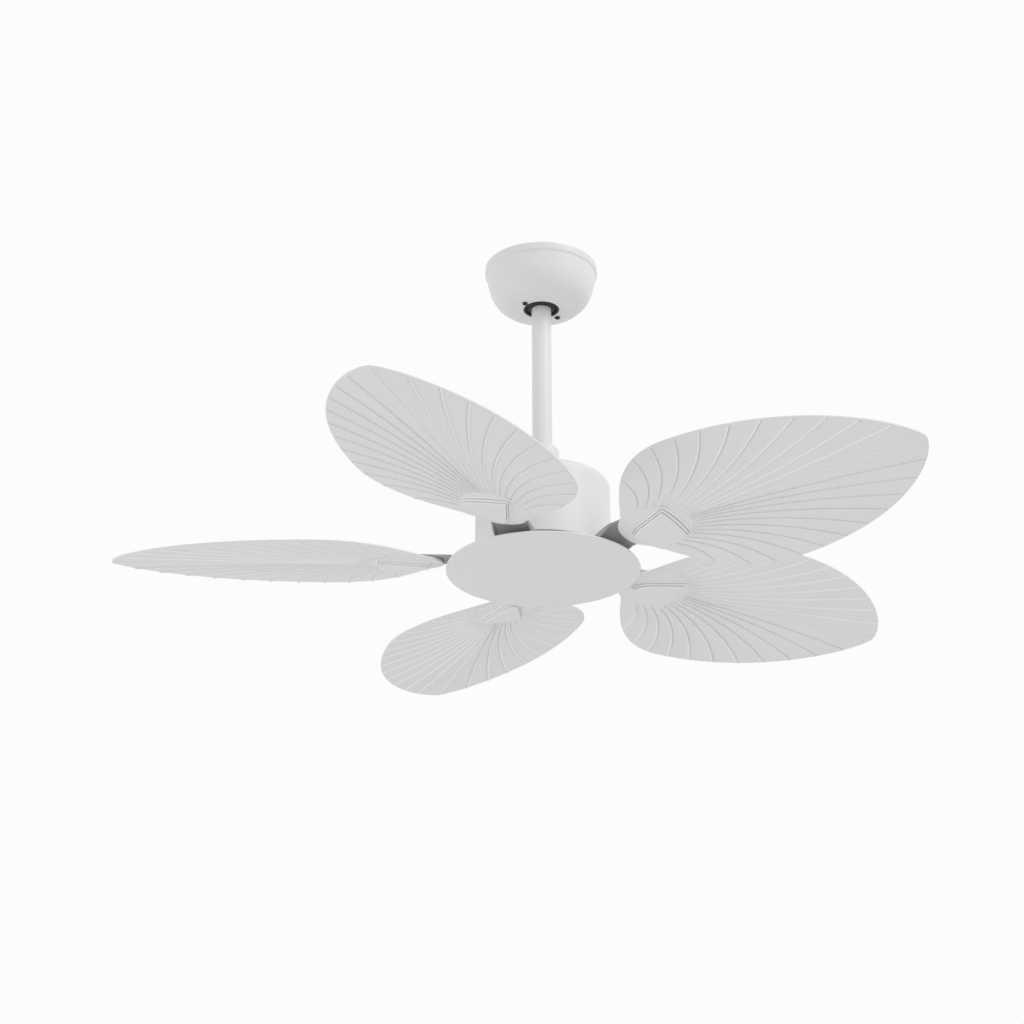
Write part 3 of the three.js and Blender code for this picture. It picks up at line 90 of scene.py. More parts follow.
def surface(
    name, colour, roughness, metallic=0, mottle=0.03, mottle_scale=9, grain_scale=900,
    grain_depth=0.02, stretch=(1, 1, 1), bands=None, crests=None,
):
    """A procedural finish: faint mottling in colour and roughness over a fine grain in relief.

    The grain's depth is in millimetres. Bands, a direction and a scale, take the grain's place.
    Painted light is a paler colour, painted as a highlight where a mesh's crest marks are above zero.
    Where its marks are below zero, in creases, the finish darkens by as much, as painted shade.
    """
    material = bpy.data.materials.new(name)
    material.use_nodes = True
    tree = material.node_tree
    shader = tree.nodes["Principled BSDF"]
    shader.inputs["Metallic"].default_value = metallic

    place = tree.nodes.new("ShaderNodeTexCoord").outputs["Object"]
    stretched = tree.nodes.new("ShaderNodeMapping")
    stretched.inputs["Scale"].default_value = stretch
    tree.links.new(place, stretched.inputs["Vector"])
    coordinates = stretched.outputs["Vector"]

    clouds = link_noise(tree, coordinates, mottle_scale, detail=4)
    tones = tree.nodes.new("ShaderNodeMix")
    tones.data_type = "RGBA"
    tones.inputs["A"].default_value = (*(c * (1 - mottle) for c in colour), 1)
    tones.inputs["B"].default_value = (*(min(c * (1 + mottle), 1) for c in colour), 1)
    tree.links.new(remapped(tree, clouds, 0, 1), tones.inputs["Factor"])
    tint_and_painted_light = tones.outputs["Result"]
    # Painted light: the crest attribute pales the colour towards a painted highlight, and below zero
    # darkens it as painted shade.
    if crests:
        painted_light_marks = tree.nodes.new("ShaderNodeAttribute")
        painted_light_marks.attribute_name = "crest"
        painted_light_mix = tree.nodes.new("ShaderNodeMix")
        painted_light_mix.data_type = "RGBA"
        painted_light_mix.clamp_factor = False
        painted_light_mix.inputs["B"].default_value = (*crests, 1)
        tree.links.new(tint_and_painted_light, painted_light_mix.inputs["A"])
        tree.links.new(painted_light_marks.outputs["Fac"], painted_light_mix.inputs["Factor"])
        tint_and_painted_light = painted_light_mix.outputs["Result"]
    tree.links.new(tint_and_painted_light, shader.inputs["Base Color"])

    smoother, rougher = roughness * (1 - ROUGHNESS_SPREAD), roughness * (1 + ROUGHNESS_SPREAD)
    tree.links.new(remapped(tree, clouds, smoother, rougher), shader.inputs["Roughness"])

    if bands:
        wave = tree.nodes.new("ShaderNodeTexWave")
        wave.wave_type, wave.bands_direction = "BANDS", bands[0]
        wave.inputs["Scale"].default_value = bands[1]
        tree.links.new(place, wave.inputs["Vector"])
        relief = wave.outputs["Fac"]
    else:
        relief = link_noise(tree, coordinates, grain_scale, detail=3)
    bump = tree.nodes.new("ShaderNodeBump")
    bump.inputs["Strength"].default_value = 1
    bump.inputs["Distance"].default_value = grain_depth * MM
    tree.links.new(relief, bump.inputs["Height"])
    tree.links.new(bump.outputs["Normal"], shader.inputs["Normal"])
    return material


FINISHES = {
    "white_paint": dict(
        colour=(0.84, 0.84, 0.835), roughness=0.42, mottle=0.01, grain_scale=700, grain_depth=0.012,
    ),
    "white_plastic": dict(
        colour=(0.85, 0.85, 0.845), roughness=0.5, mottle=0.012, grain_scale=1400, grain_depth=0.01,
        # the colour of the painted highlights on the ribs and medallion walls
        crests=(0.98, 0.98, 0.975),
    ),
    "black_steel": dict(
        colour=(0.03, 0.03, 0.032), roughness=0.4, metallic=0.3, mottle=0.15, grain_depth=0.03,
    ),
    "black_plastic": dict(colour=(0.018, 0.018, 0.019), roughness=0.5, mottle=0.1),
    "lead_sheath": dict(colour=(0.025, 0.025, 0.026), roughness=0.55, mottle=0.1),
    "bright_steel": dict(
        colour=(0.62, 0.63, 0.64), roughness=0.3, metallic=1, mottle=0.06, grain_scale=300,
        grain_depth=0.006, stretch=(1, 1, 8),
    ),
    "core_steel": dict(
        colour=(0.34, 0.35, 0.36), roughness=0.5, metallic=0.9, mottle=0.08, bands=("Z", 320),
        grain_depth=0.12,
    ),
    "copper_winding": dict(
        colour=(0.58, 0.26, 0.11), roughness=0.35, metallic=0.9, mottle=0.12, bands=("X", 160),
        grain_depth=0.3,
    ),
    # On the blade arms this mid grey is painted shade: it stands in for the shade that darkens the
    # white arms between blade and disc.
    "grey_casting": dict(
        colour=(0.4, 0.405, 0.41), roughness=0.5, metallic=0.2, mottle=0.08, grain_scale=500,
        grain_depth=0.05,
    ),
}
materials = {name: surface(name, **finish) for name, finish in FINISHES.items()}

for part in frame["record"]["subparts"]:
    node = frame["nodes"][part["node"]]
    node.data.materials.clear()
    node.data.materials.append(materials[part["material_slot"]])


# ---- Mesh helpers -------------------------------------------------------------------------

SHARP_DEG = 35
CORNER_SHARE = 0.45  # of a side, for the rounding of the corner at its end


def skin(name, vertices, faces, slot, matrix=None, sharp_deg=SHARP_DEG, crests=()):
    """A closed mesh from points in millimetres, shaded smooth but for edges over the angle."""
    mesh = bpy.data.meshes.new(name)
    mesh.from_pydata([Vector(v) * MM for v in vertices], [], faces)
    # The painted light amounts go to the crest attribute: painted highlight above zero, painted shade
    # below.
    if crests:
        mesh.attributes.new("crest", "FLOAT", "POINT").data.foreach_set("value", crests)
    shape = bmesh.new()
    shape.from_mesh(mesh)
    bmesh.ops.recalc_face_normals(shape, faces=shape.faces)
    shape.to_mesh(mesh)
    shape.free()
    if matrix is not None:
        mesh.transform(matrix)
    mesh.shade_smooth()
    mesh.set_sharp_from_angle(angle=math.radians(sharp_deg))
    mesh.materials.append(materials[slot])
    return mesh


def piece(name, vertices, faces, slot, body, nodes, **looks):
    """An object with a mesh of its own; the looks go to its skin."""
    return placed(name, skin(name, vertices, faces, slot, **looks), slot, body, nodes)


def placed(name, mesh, slot, body, nodes=(), matrix=None):
    """An object of the mesh that rides on a body and stands for the nodes."""
    shown = bpy.data.objects.new(name, mesh)
    bpy.context.scene.collection.objects.link(shown)
    if matrix is not None:
        shown.matrix_world = matrix
    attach(shown, body)
    if nodes:
        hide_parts(*nodes)
    return shown


def softened(points, radius, steps=3):
    """A closed outline with its corners rounded, as far as its sides allow."""
    outline = []
    for i, point in enumerate(points):
        here = Vector(point)
        before, after = Vector(points[i - 1]) - here, Vector(points[(i + 1) % len(points)]) - here
        start = here + before.normalized() * min(radius, before.length * CORNER_SHARE)
        end = here + after.normalized() * min(radius, after.length * CORNER_SHARE)
        for s in range(steps + 1):
            t = s / steps
            outline.append(tuple(start * (1 - t) ** 2 + here * 2 * t * (1 - t) + end * t**2))
    return outline


def arc(centre_r, centre_z, radius, from_deg, to_deg, steps):
    """Points of an arc in a profile, 0 degrees pointing outwards."""
    angles = [math.radians(from_deg + (to_deg - from_deg) * i / steps) for i in range(steps + 1)]
    return [(centre_r + radius * math.cos(a), centre_z + radius * math.sin(a)) for a in angles]


def strip(a, b, closed=False):
    """Faces between two rows with equal counts of vertices."""
    pairs = list(zip(a, b))
    following = pairs[1:] + pairs[:1] if closed else pairs[1:]
    return [[a1, a2, b2, b1] for (a1, b1), (a2, b2) in zip(pairs, following)]


def lathe(profile, sides=WIDE_SIDES):
    """Vertices and faces of a profile turned about Z: a closed ring, or closed by the axis."""
    angles = [math.tau * i / sides for i in range(sides)]
    vertices, rows = [], []
    for r, z in profile:
        if r == 0:
            rows.append([len(vertices)] * sides)
            vertices.append((0, 0, z))
        else:
            rows.append(range(len(vertices), len(vertices) + sides))
            vertices += [(r * math.cos(a), r * math.sin(a), z) for a in angles]
    on_axis = profile[0][0] == 0
    following = rows[1:] if on_axis else rows[1:] + rows[:1]
    faces = [face for a, b in zip(rows, following) for face in strip(a, b, closed=True)]
    return vertices, [list(dict.fromkeys(face)) for face in faces]


def stack(rings):
    """Vertices and faces of a closed skin over a row of rings with equal counts of points."""
    count = len(rings[0])
    rows = [list(range(i * count, (i + 1) * count)) for i in range(len(rings))]
    faces = [face for a, b in zip(rows, rows[1:]) for face in strip(a, b, closed=True)]
    return [point for ring in rings for point in ring], [*faces, rows[0], rows[-1]]


def smooth(low, high, value):
    """0 up to low, 1 from high, and a smooth step between."""
    t = min(max((value - low) / (high - low), 0), 1)
    return t * t * (3 - 2 * t)


def mix(a, b, t):
    return a + (b - a) * t


def heights_of(node):
    """The heights of a CAD node's lowest and highest points, in millimetres."""
    low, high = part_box(node)
    return low.z / MM, high.z / MM


# ---- Ceiling side and rod -----------------------------------------------------------------

# The canopy's profile, as radius and depth: a band under the ceiling, then a bowl.
CANOPY_RIM_R = 72
CANOPY_BAND = [(CANOPY_RIM_R, 0), (CANOPY_RIM_R, 9), (71.6, 9.8)]
CANOPY_BOWL = [(70.5, 10.5), (66.5, 30), (61, 43), (54, 51.5), (46, 57)]
CANOPY_FLOOR_R = 37
CANOPY_HOLE_R = 22.8
CANOPY_WALL = 1.2
CANOPY_TURN = math.radians(43)
CANOPY_SCREW_CIRCLE_R = 28.3
CANOPY_SCREW_R, CANOPY_SCREW_LENGTH = 1.9, 7

ROD_R = 12.5
ROD_WALL = 2

BALL_CENTRE = -39
BALL_R = 25
BALL_BOTTOM, BALL_TOP = -20, 12  # the ball's flats, about its centre
LINER_THICKNESS = 2
LINER_BOTTOM, LINER_TOP = -17, -9

COLLAR_R = 20.8
COLLAR_WALL = 1.4
COLLAR_FILLET = 7.5
COLLAR_HOLE_R = ROD_R + 0.5


def smooth_line(points, steps):
    """A Catmull-Rom curve through the points."""
    line = []
    ends = [Vector(p) for p in (points[0], *points, points[-1])]
    for a, b, c, d in zip(ends, ends[1:], ends[2:], ends[3:]):
        square, cube = a * 2 - b * 5 + c * 4 - d, b * 3 - a - c * 3 + d
        for t in (s / steps for s in range(steps)):
            at = b * 2 + (c - a) * t + square * t**2 + cube * t**3
            line.append(tuple(at / 2))
    return [*line, points[-1]]


def make_canopy():
    depth = -heights_of("canopy")[0]
    bowl = smooth_line([*CANOPY_BOWL, (CANOPY_FLOOR_R, depth)], 6)
    outside = [*CANOPY_BAND, *bowl, (CANOPY_HOLE_R + EDGE, depth)]
    inside = [(r - CANOPY_WALL, max(z - CANOPY_WALL, 0)) for r, z in outside[1:-1]]
    profile = [*outside, (CANOPY_HOLE_R, depth - EDGE), (CANOPY_HOLE_R, depth - CANOPY_WALL)]
    profile += [*reversed(inside), (CANOPY_RIM_R - CANOPY_WALL, 0)]
    shell = lathe([(r, -z) for r, z in profile])
    piece("canopy_shell", *shell, "white_paint", "ceiling", ["canopy"])


def latitude(height, radius):
    """The degrees of a height over a ball's centre."""
    return math.degrees(math.asin(height / radius))


def make_ball_joint():
    sphere = arc(0, BALL_CENTRE, BALL_R, latitude(BALL_BOTTOM, BALL_R), latitude(BALL_TOP, BALL_R), 24)
    bore = ROD_R + SEAT_GAP
    profile = [(bore, BALL_CENTRE + BALL_BOTTOM), *sphere, (bore, BALL_CENTRE + BALL_TOP)]
    ball = lathe(profile, SLIM_SIDES)
    piece("ball", *ball, "black_plastic", "hanging", ["hanger_ball"])
    inner = BALL_R + SEAT_GAP
    outer = inner + LINER_THICKNESS
    profile = arc(0, BALL_CENTRE, inner, latitude(LINER_BOTTOM, inner), latitude(LINER_TOP, inner), 8)
    profile += arc(0, BALL_CENTRE, outer, latitude(LINER_TOP, outer), latitude(LINER_BOTTOM, outer), 8)
    liner = lathe(profile, SLIM_SIDES)
    piece("ball_liner", *liner, "black_plastic", "seat", ["ball_liner_ring"])


def make_rod():
    bottom, top = heights_of("downrod")
    inner = ROD_R - ROD_WALL
    profile = softened([(inner, bottom), (ROD_R, bottom), (ROD_R, top), (inner, top)], EDGE)
    rod = lathe(profile, SLIM_SIDES)
    piece("rod", *rod, "white_paint", "hanging", ["downrod"])


def make_collar():
    bottom, top = heights_of("coupling_cover")
    centre = (COLLAR_R - COLLAR_FILLET, top - COLLAR_FILLET)
    profile = [
        (COLLAR_R - COLLAR_WALL, bottom),
        (COLLAR_R - EDGE, bottom),
        (COLLAR_R, bottom + EDGE),
        *arc(*centre, COLLAR_FILLET, 0, 90, 12),
        (COLLAR_HOLE_R, top),
        (COLLAR_HOLE_R, top - COLLAR_WALL),
        *arc(*centre, COLLAR_FILLET - COLLAR_WALL, 90, 0, 8),
    ]
    collar = lathe(profile)
    piece("collar", *collar, "white_plastic", "hanging", ["coupling_cover"])


# ---- Motor housing, hub and cover disc ----------------------------------------------------

HOUSING_R = 83.5
HOUSING_WALL = 1.5
HOUSING_FILLET = 12
HOUSING_HOLE_R = 16.5
HOUSING_RIM_LIFT = 2.2  # so that the dark gap over the disc shows under the rim
HOUSING_SCREWS = 3
HOUSING_SCREW_R, HOUSING_SCREW_LENGTH = 2, 6

HUB_R = HOUSING_R - 2.5
HUB_HOLE_R = 30

DISC_R = 119.3
DISC_EDGE = 1.5
DISC_THICKNESS = 3.2
DISC_SOCKET_R = 24
DISC_SOCKET_WALL = 2.4

CARRIER_R = DISC_SOCKET_R - SEAT_GAP
CARRIER_BORE_R = 6.3
CARRIER_RECESS_R, CARRIER_RECESS_DEPTH = 15, 5


def make_housing():
    bottom, top = heights_of("motor_housing")
    lip = bottom + HOUSING_RIM_LIFT
    centre = (HOUSING_R - HOUSING_FILLET, top - HOUSING_FILLET)
    profile = [
        (HOUSING_R - HOUSING_WALL, lip),
        (HOUSING_R - EDGE, lip),
        (HOUSING_R, lip + EDGE),
        *arc(*centre, HOUSING_FILLET, 0, 90, 16),
        (HOUSING_HOLE_R, top),
        (HOUSING_HOLE_R, top - HOUSING_WALL),
        *arc(*centre, HOUSING_FILLET - HOUSING_WALL, 90, 0, 10),
    ]
    shell = lathe(profile)
    piece("housing_shell", *shell, "white_paint", "hanging", ["motor_housing"])


def make_disc():
    face, top = heights_of("cover_disc")
    middle = face + DISC_THICKNESS / 2
    edge = [
        (DISC_R - DISC_EDGE + DISC_EDGE * math.cos(a), middle + DISC_THICKNESS / 2 * math.sin(a))
        for a in (math.radians(-90 + 180 * i / 12) for i in range(13))
    ]
    profile = [
        (0, face),
        *edge,
        (DISC_SOCKET_R + DISC_SOCKET_WALL, face + DISC_THICKNESS),
        (DISC_SOCKET_R + DISC_SOCKET_WALL, top),
        (DISC_SOCKET_R, top),
        (DISC_SOCKET_R, face + DISC_THICKNESS),
        (0, face + DISC_THICKNESS),
    ]
    disc = lathe(profile, DISC_SIDES)
    piece("disc", *disc, "white_paint", "hanging", ["cover_disc"])


def make_hub():
    bottom, top = heights_of("hub_plate")
    profile = softened([(HUB_HOLE_R, bottom), (HUB_R, bottom), (HUB_R, top), (HUB_HOLE_R, top)], EDGE)
    hub = lathe(profile)
    piece("hub", *hub, "black_steel", "rotor", ["hub_plate"])


def make_carrier():
    bottom, top = heights_of("disc_carrier")
    profile = [
        (CARRIER_BORE_R, top),
        (CARRIER_R, top),
        (CARRIER_R, bottom),
        (CARRIER_RECESS_R, bottom),
        (CARRIER_RECESS_R, bottom + CARRIER_RECESS_DEPTH),
        (CARRIER_BORE_R, bottom + CARRIER_RECESS_DEPTH),
    ]
    carrier = lathe(softened(profile, EDGE), SLIM_SIDES)
    piece("carrier", *carrier, "white_plastic", "hanging", ["disc_carrier"])


# ---- Screws -------------------------------------------------------------------------------

# Shares of the shank's radius, which is also the head's height.
HEAD_R = 1.8
HEAD_EDGE_HEIGHT = 0.45
HEAD_TURN_HEIGHT = 0.5
HEAD_TURN_WIDTH = 0.25  # share of the head's radius that its rounding takes
RECESS_HALF_WIDTH = 0.28
RECESS_REACH = 1.05
RECESS_DEPTH = 0.6
RECESS_TAPER = 0.8  # its floor's share of its opening
TINY = 1e-9  # for the rounding of angles


def screw_mesh(name, radius, length, slot):
    """A pan-head screw with a cross recess, its seat at z = 0 and its head above."""
    head_r, head_h = radius * HEAD_R, radius
    recess_half, recess_end = radius * RECESS_HALF_WIDTH, radius * RECESS_REACH
    edge_angle = math.atan(recess_half / recess_end)
    edge_deg = math.degrees(edge_angle)
    quarter = [-45, -36, -27, -edge_deg, 0, edge_deg, 27, 36]
    angles = [math.radians(90 * q + a) for q in range(4) for a in quarter]

    def recess(angle):
        off_axis = abs((angle + math.pi / 4) % (math.pi / 2) - math.pi / 4)
        if off_axis <= edge_angle + TINY:
            return recess_end / math.cos(off_axis)
        return recess_half / math.sin(off_axis)

    def circle(r, z):
        return [(r * math.cos(a), r * math.sin(a), z) for a in angles]

    dome = []
    for a in (math.radians(18 * i) for i in range(5)):
        r = head_r * math.cos(a) * HEAD_TURN_WIDTH + head_r * (1 - HEAD_TURN_WIDTH)
        dome.append(circle(r, head_h * (HEAD_EDGE_HEIGHT + HEAD_TURN_HEIGHT * math.sin(a))))
    cross = [
        [(recess(a) * share * math.cos(a), recess(a) * share * math.sin(a), z) for a in angles]
        for share, z in ((1, head_h), (RECESS_TAPER, head_h - radius * RECESS_DEPTH))
    ]
    rings = [circle(radius, -length), circle(radius, 0), circle(head_r, 0), *dome, *cross]
    return skin(name, *stack(rings), slot)


def make_canopy_screws():
    mesh = screw_mesh("canopy_screw_shape", CANOPY_SCREW_R, CANOPY_SCREW_LENGTH, "black_steel")
    seat = heights_of("canopy")[0] - SEAT_GAP
    for name, side in (("left", -1), ("right", 1)):
        at = Vector((side * CANOPY_SCREW_CIRCLE_R, 0, seat)) * MM
        turn = Matrix.Rotation(CANOPY_TURN, 4, "Z")
        matrix = turn @ Matrix.Translation(at) @ Matrix.Rotation(math.pi, 4, "X")
        placed("canopy_bolt_" + name, mesh, "black_steel", "ceiling", ["canopy_screw_" + name], matrix)


def make_housing_screws():
    mesh = screw_mesh("housing_screw_shape", HOUSING_SCREW_R, HOUSING_SCREW_LENGTH, "bright_steel")
    for number in range(1, HOUSING_SCREWS + 1):
        node = f"housing_screw_{number}"
        low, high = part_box(node)
        at = Vector(((low.x + high.x) / 2, (low.y + high.y) / 2, low.z + HOUSING_SCREW_LENGTH * MM))
        matrix = Matrix.Translation(at)
        placed(f"housing_bolt_{number}", mesh, "bright_steel", "hanging", [node], matrix)


# ---- Blades -------------------------------------------------------------------------------

BLADE_COUNT = 5
FIRST_BLADE_DEG = 178.4
BLADE_PITCH_DEG = 12
BLADE_RISE_DEG = 1.25
BLADE_PLANE_HEIGHT = 10.4  # on the axis, above the disc's underside
BLADE_THICKNESS = 3

# The leaf's outline runs from the middle of its root by the neck and the widest place to the tip.
# A handle is the length from one of these points to the control point beside it.
LEAF_ROOT = 121.5
LEAF_ROOT_HANDLE = 14
LEAF_NECK = Vector((136, 29))
LEAF_NECK_DEG = 33
LEAF_NECK_HANDLES = (10.7, 16.6)
LEAF_WIDEST = 272.6
LEAF_WIDEST_HANDLES = (88.6, 173.8)
LEAF_HALF_WIDTH = 135.1
LEAF_TIP = 533.1
LEAF_TIP_HANDLE = 26.2
LEAF_SHARP_DEG = 70
OUTLINE_INSET = 0.4
RIM_ROUNDING = 0.9
RIM_ROUNDING_DEGS = (30, 60, 90)
RIM_INSET = OUTLINE_INSET + RIM_ROUNDING

RIBS_PER_SIDE = 11
RIM_TO_FIRST_RIB = 118
RIM_TO_SECOND_RIB = 162
CLOSE_RIBS = 3  # spaces after the second rib that have the close pitch
CLOSE_RIB_PITCH = 33.5
RIB_PITCH = 36.6
RIB_BEND = 0.24  # a rib's bow, as a share of its reach across the leaf
FLATTEST_CROSSING = 0.35  # sine of the least angle that a rib is taken to meet the rim at
RIB_HEIGHT = 1.7
RIB_TOP_SHARE = 0.5  # height of the ribs on the upper side, against those underneath
RIB_START_HALF_WIDTH = 0.6
RIB_HALF_WIDTH = 2.3
# A rib's section from the root's side to the tip's: share of the half width, share of the height,
# and painted lightness: painted highlight on the root's flank and crest, painted shade where it is
# below 0.
# A groove runs along the foot on the tip's side.
RIB_SECTION = [
    (-1, 0, 0),
    (-0.65, 0.5, 0.8),
    (-0.25, 0.92, 0.8),
    (0.1, 1, 0.6),
    (0.38, 0.7, 0),
    (0.56, 0, -0.3),
    (0.78, -0.4, -0.6),
    (1, 0, 0),
]
# The midrib's third figures are a faint painted highlight along its crest.
MIDRIB_SECTION = [
    (-1, 0, 0),
    (-0.65, 0.4, 0.2),
    (-0.3, 0.88, 0.4),
    (0, 1, 0.4),
    (0.3, 0.88, 0.4),
    (0.65, 0.4, 0.2),
    (1, 0, 0),
]

# Lengths from a rib's start, over which it settles.
WIDTH_TURN = 12  # its width turns from along the ellipse to across the rib
HEIGHT_RISE = 12  # it rises from the pad's height to its own
TOP_RISE = 6  # on the upper side it rises from nothing
PAINTED_LIGHT_FROM, PAINTED_LIGHT_TO = 4, 20  # its painted highlight and painted shade come in between these
RIB_FADE = 1.2  # and over this length it sinks at the rim

# The ribs start from an ellipse, closer together beside the midrib.
ELLIPSE_CENTRE = 162
ELLIPSE_HALF_LENGTH = 54
ELLIPSE_HALF_WIDTH = 41
LAST_RIB_DEG = 82
RIB_CROWDING = 1.5

# A smooth pad round the medallion stands out of the leaf.
PAD_HEIGHT = 0.8
PAD_EDGE_DEG = 87
PAD_TO_RIM = 54  # along the rim from the root
PAD_LINE = RIBS_PER_SIDE + 1
PAD_STEPS = ((0.3, 0.7), (0.8, 1))  # inset, and share of the pad's height

# Rows of the leaf's grid, by their distances from a rib's start and from its end.
START_ROWS = (0, 1, 2.5, 5)
END_ROWS = (6, 3, 1.5, 0)
MIDDLE_ROWS = 14
PANEL_SHARES = (0.2, 0.5, 0.8)
ROOT_EDGE_STEPS = 20

blade_plane_z = heights_of("cover_disc")[0] + BLADE_PLANE_HEIGHT


def spoke(number):
    """The turn of a blade's arm about the fan's axis."""
    return Matrix.Rotation(math.radians(FIRST_BLADE_DEG + (number - 1) * 360 / BLADE_COUNT), 4, "Z")


# The blade's own plane, u outwards, v across and w up, in the spoke's axes, in millimetres.
blade_tilt = Matrix.Rotation(-math.radians(BLADE_RISE_DEG), 4, "Y") @ Matrix.Rotation(
    -math.radians(BLADE_PITCH_DEG), 4, "X"
)
blade_plane = Matrix.Translation((0, 0, blade_plane_z)) @ blade_tilt
blade_plane_metres = Matrix.Translation((0, 0, blade_plane_z * MM)) @ blade_tilt


def leftwards(way):
    """A way in the blade's plane, turned a quarter to its left."""
    return Vector((-way.y, way.x))


def bezier(points, t):
    """A point of the curve with these control points."""
    points = [Vector(p) for p in points]
    while len(points) > 1:
        points = [a.lerp(b, t) for a, b in zip(points, points[1:])]
    return points[0]


def leaf_curves():
    """Control points of the leaf's outline on the +v side."""
    neck_angle = math.radians(LEAF_NECK_DEG)
    neck_way = Vector((math.cos(neck_angle), math.sin(neck_angle)))
    before_neck, after_neck = (neck_way * handle for handle in LEAF_NECK_HANDLES)
    rootward, tipward = LEAF_WIDEST_HANDLES
    widest = (LEAF_WIDEST, LEAF_HALF_WIDTH)
    return [
        [(LEAF_ROOT, 0), (LEAF_ROOT, LEAF_ROOT_HANDLE), LEAF_NECK - before_neck, LEAF_NECK],
        [LEAF_NECK, LEAF_NECK + after_neck, (LEAF_WIDEST - rootward, LEAF_HALF_WIDTH), widest],
        [widest, (LEAF_WIDEST + tipward, LEAF_HALF_WIDTH), (LEAF_TIP, LEAF_TIP_HANDLE), (LEAF_TIP, 0)],
    ]


class Outline:
    """The leaf's rim by signed distance from its tip: minus on the -v side, running anticlockwise."""

    def __init__(self, curves, steps=160):
        self.points = [bezier(c, i / steps) for c in curves for i in range(steps)]
        self.points.append(bezier(curves[-1], 1))
        self.lengths = [0]
        for a, b in zip(self.points, self.points[1:]):
            self.lengths.append(self.lengths[-1] + (b - a).length)
        self.half = self.lengths[-1]

    def point(self, from_tip):
        from_tip = (from_tip + self.half) % (2 * self.half) - self.half
        distance = self.half - abs(from_tip)
        low, high = 0, len(self.lengths) - 1
        while high - low > 1:
            middle = (low + high) // 2
            low, high = (middle, high) if self.lengths[middle] <= distance else (low, middle)
        share = (distance - self.lengths[low]) / (self.lengths[high] - self.lengths[low])
        at = self.points[low].lerp(self.points[high], share)
        return Vector((at.x, math.copysign(at.y, from_tip)))

    def tangent(self, from_tip, reach=0.5):
        return (self.point(from_tip + reach) - self.point(from_tip - reach)).normalized()

    def inner(self, from_tip, inset=RIM_INSET):
        """A point inside the rim."""
        return self.point(from_tip) + leftwards(self.tangent(from_tip)) * inset


rim = Outline(leaf_curves())


def rim_distance(count):
    """How far along the rim, from the root, a rib or the pad's edge meets it."""
    if count == PAD_LINE:
        return PAD_TO_RIM
    if count == RIBS_PER_SIDE:
        return RIM_TO_FIRST_RIB
    spaces = RIBS_PER_SIDE - 1 - count
    close = min(spaces, CLOSE_RIBS)
    return RIM_TO_SECOND_RIB + close * CLOSE_RIB_PITCH + (spaces - close) * RIB_PITCH


class Rib:
    """Rib k, minus on the -v side; 0 is the midrib, and beyond the last is the pad's own edge."""

    def __init__(self, k, length_steps=12):
        side = 1 if k >= 0 else -1
        count = abs(k)
        is_pad_edge = count == PAD_LINE
        share = (min(count, RIBS_PER_SIDE) / RIBS_PER_SIDE) ** RIB_CROWDING
        self.angle = side * math.radians(PAD_EDGE_DEG if is_pad_edge else LAST_RIB_DEG * share)
        self.from_tip = 0 if k == 0 else side * (rim.half - rim_distance(count))
        if is_pad_edge:
            self.section = [(0, 0, 0)]
        elif k == 0:
            self.section = MIDRIB_SECTION
        else:
            self.section = sorted((-side * place, height, painted_lightness) for place, height, painted_lightness in RIB_SECTION)
        start, end = ellipse_point(self.angle), rim.point(self.from_tip)
        chord = end - start
        bow = 0 if is_pad_edge else RIB_BEND * abs(chord.y)
        control = (start + end) / 2 - leftwards(chord).normalized() * side * bow
        self.curve = [start, control, end]
        points = [bezier(self.curve, i / length_steps) for i in range(length_steps + 1)]
        self.length = sum((b - a).length for a, b in zip(points, points[1:]))

    def point(self, t, offset=0, reach=0.01):
        """A point beside the rib, to the left of its way out by the offset."""
        before, after = bezier(self.curve, max(t - reach, 0)), bezier(self.curve, min(t + reach, 1))
        return bezier(self.curve, t) + leftwards((after - before).normalized()) * offset

    def rim_place(self, offset):
        """Where a line beside the rib meets the rim."""
        along = (self.curve[2] - self.curve[1]).normalized()
        crossing = max(abs(along.cross(rim.tangent(self.from_tip))), FLATTEST_CROSSING)
        return self.from_tip + offset / crossing


def ellipse_point(angle):
    """Where a rib starts."""
    across = ELLIPSE_HALF_WIDTH * math.sin(angle)
    return Vector((ELLIPSE_CENTRE + ELLIPSE_HALF_LENGTH * math.cos(angle), across))


def ellipse_pace(angle):
    """How far the ellipse's point moves for each radian."""
    return math.hypot(ELLIPSE_HALF_LENGTH * math.sin(angle), ELLIPSE_HALF_WIDTH * math.cos(angle))


def row_distances(length):
    """Distances along a column: close together at both ends."""
    first, last = START_ROWS[-1], length - END_ROWS[0]
    middle = [mix(first, last, (i + 1) / (MIDDLE_ROWS + 1)) for i in range(MIDDLE_ROWS)]
    return [*START_ROWS, *middle, *(length - d for d in END_ROWS)]


def rib_half_width(t):
    return mix(RIB_START_HALF_WIDTH, RIB_HALF_WIDTH, t * (2 - t))


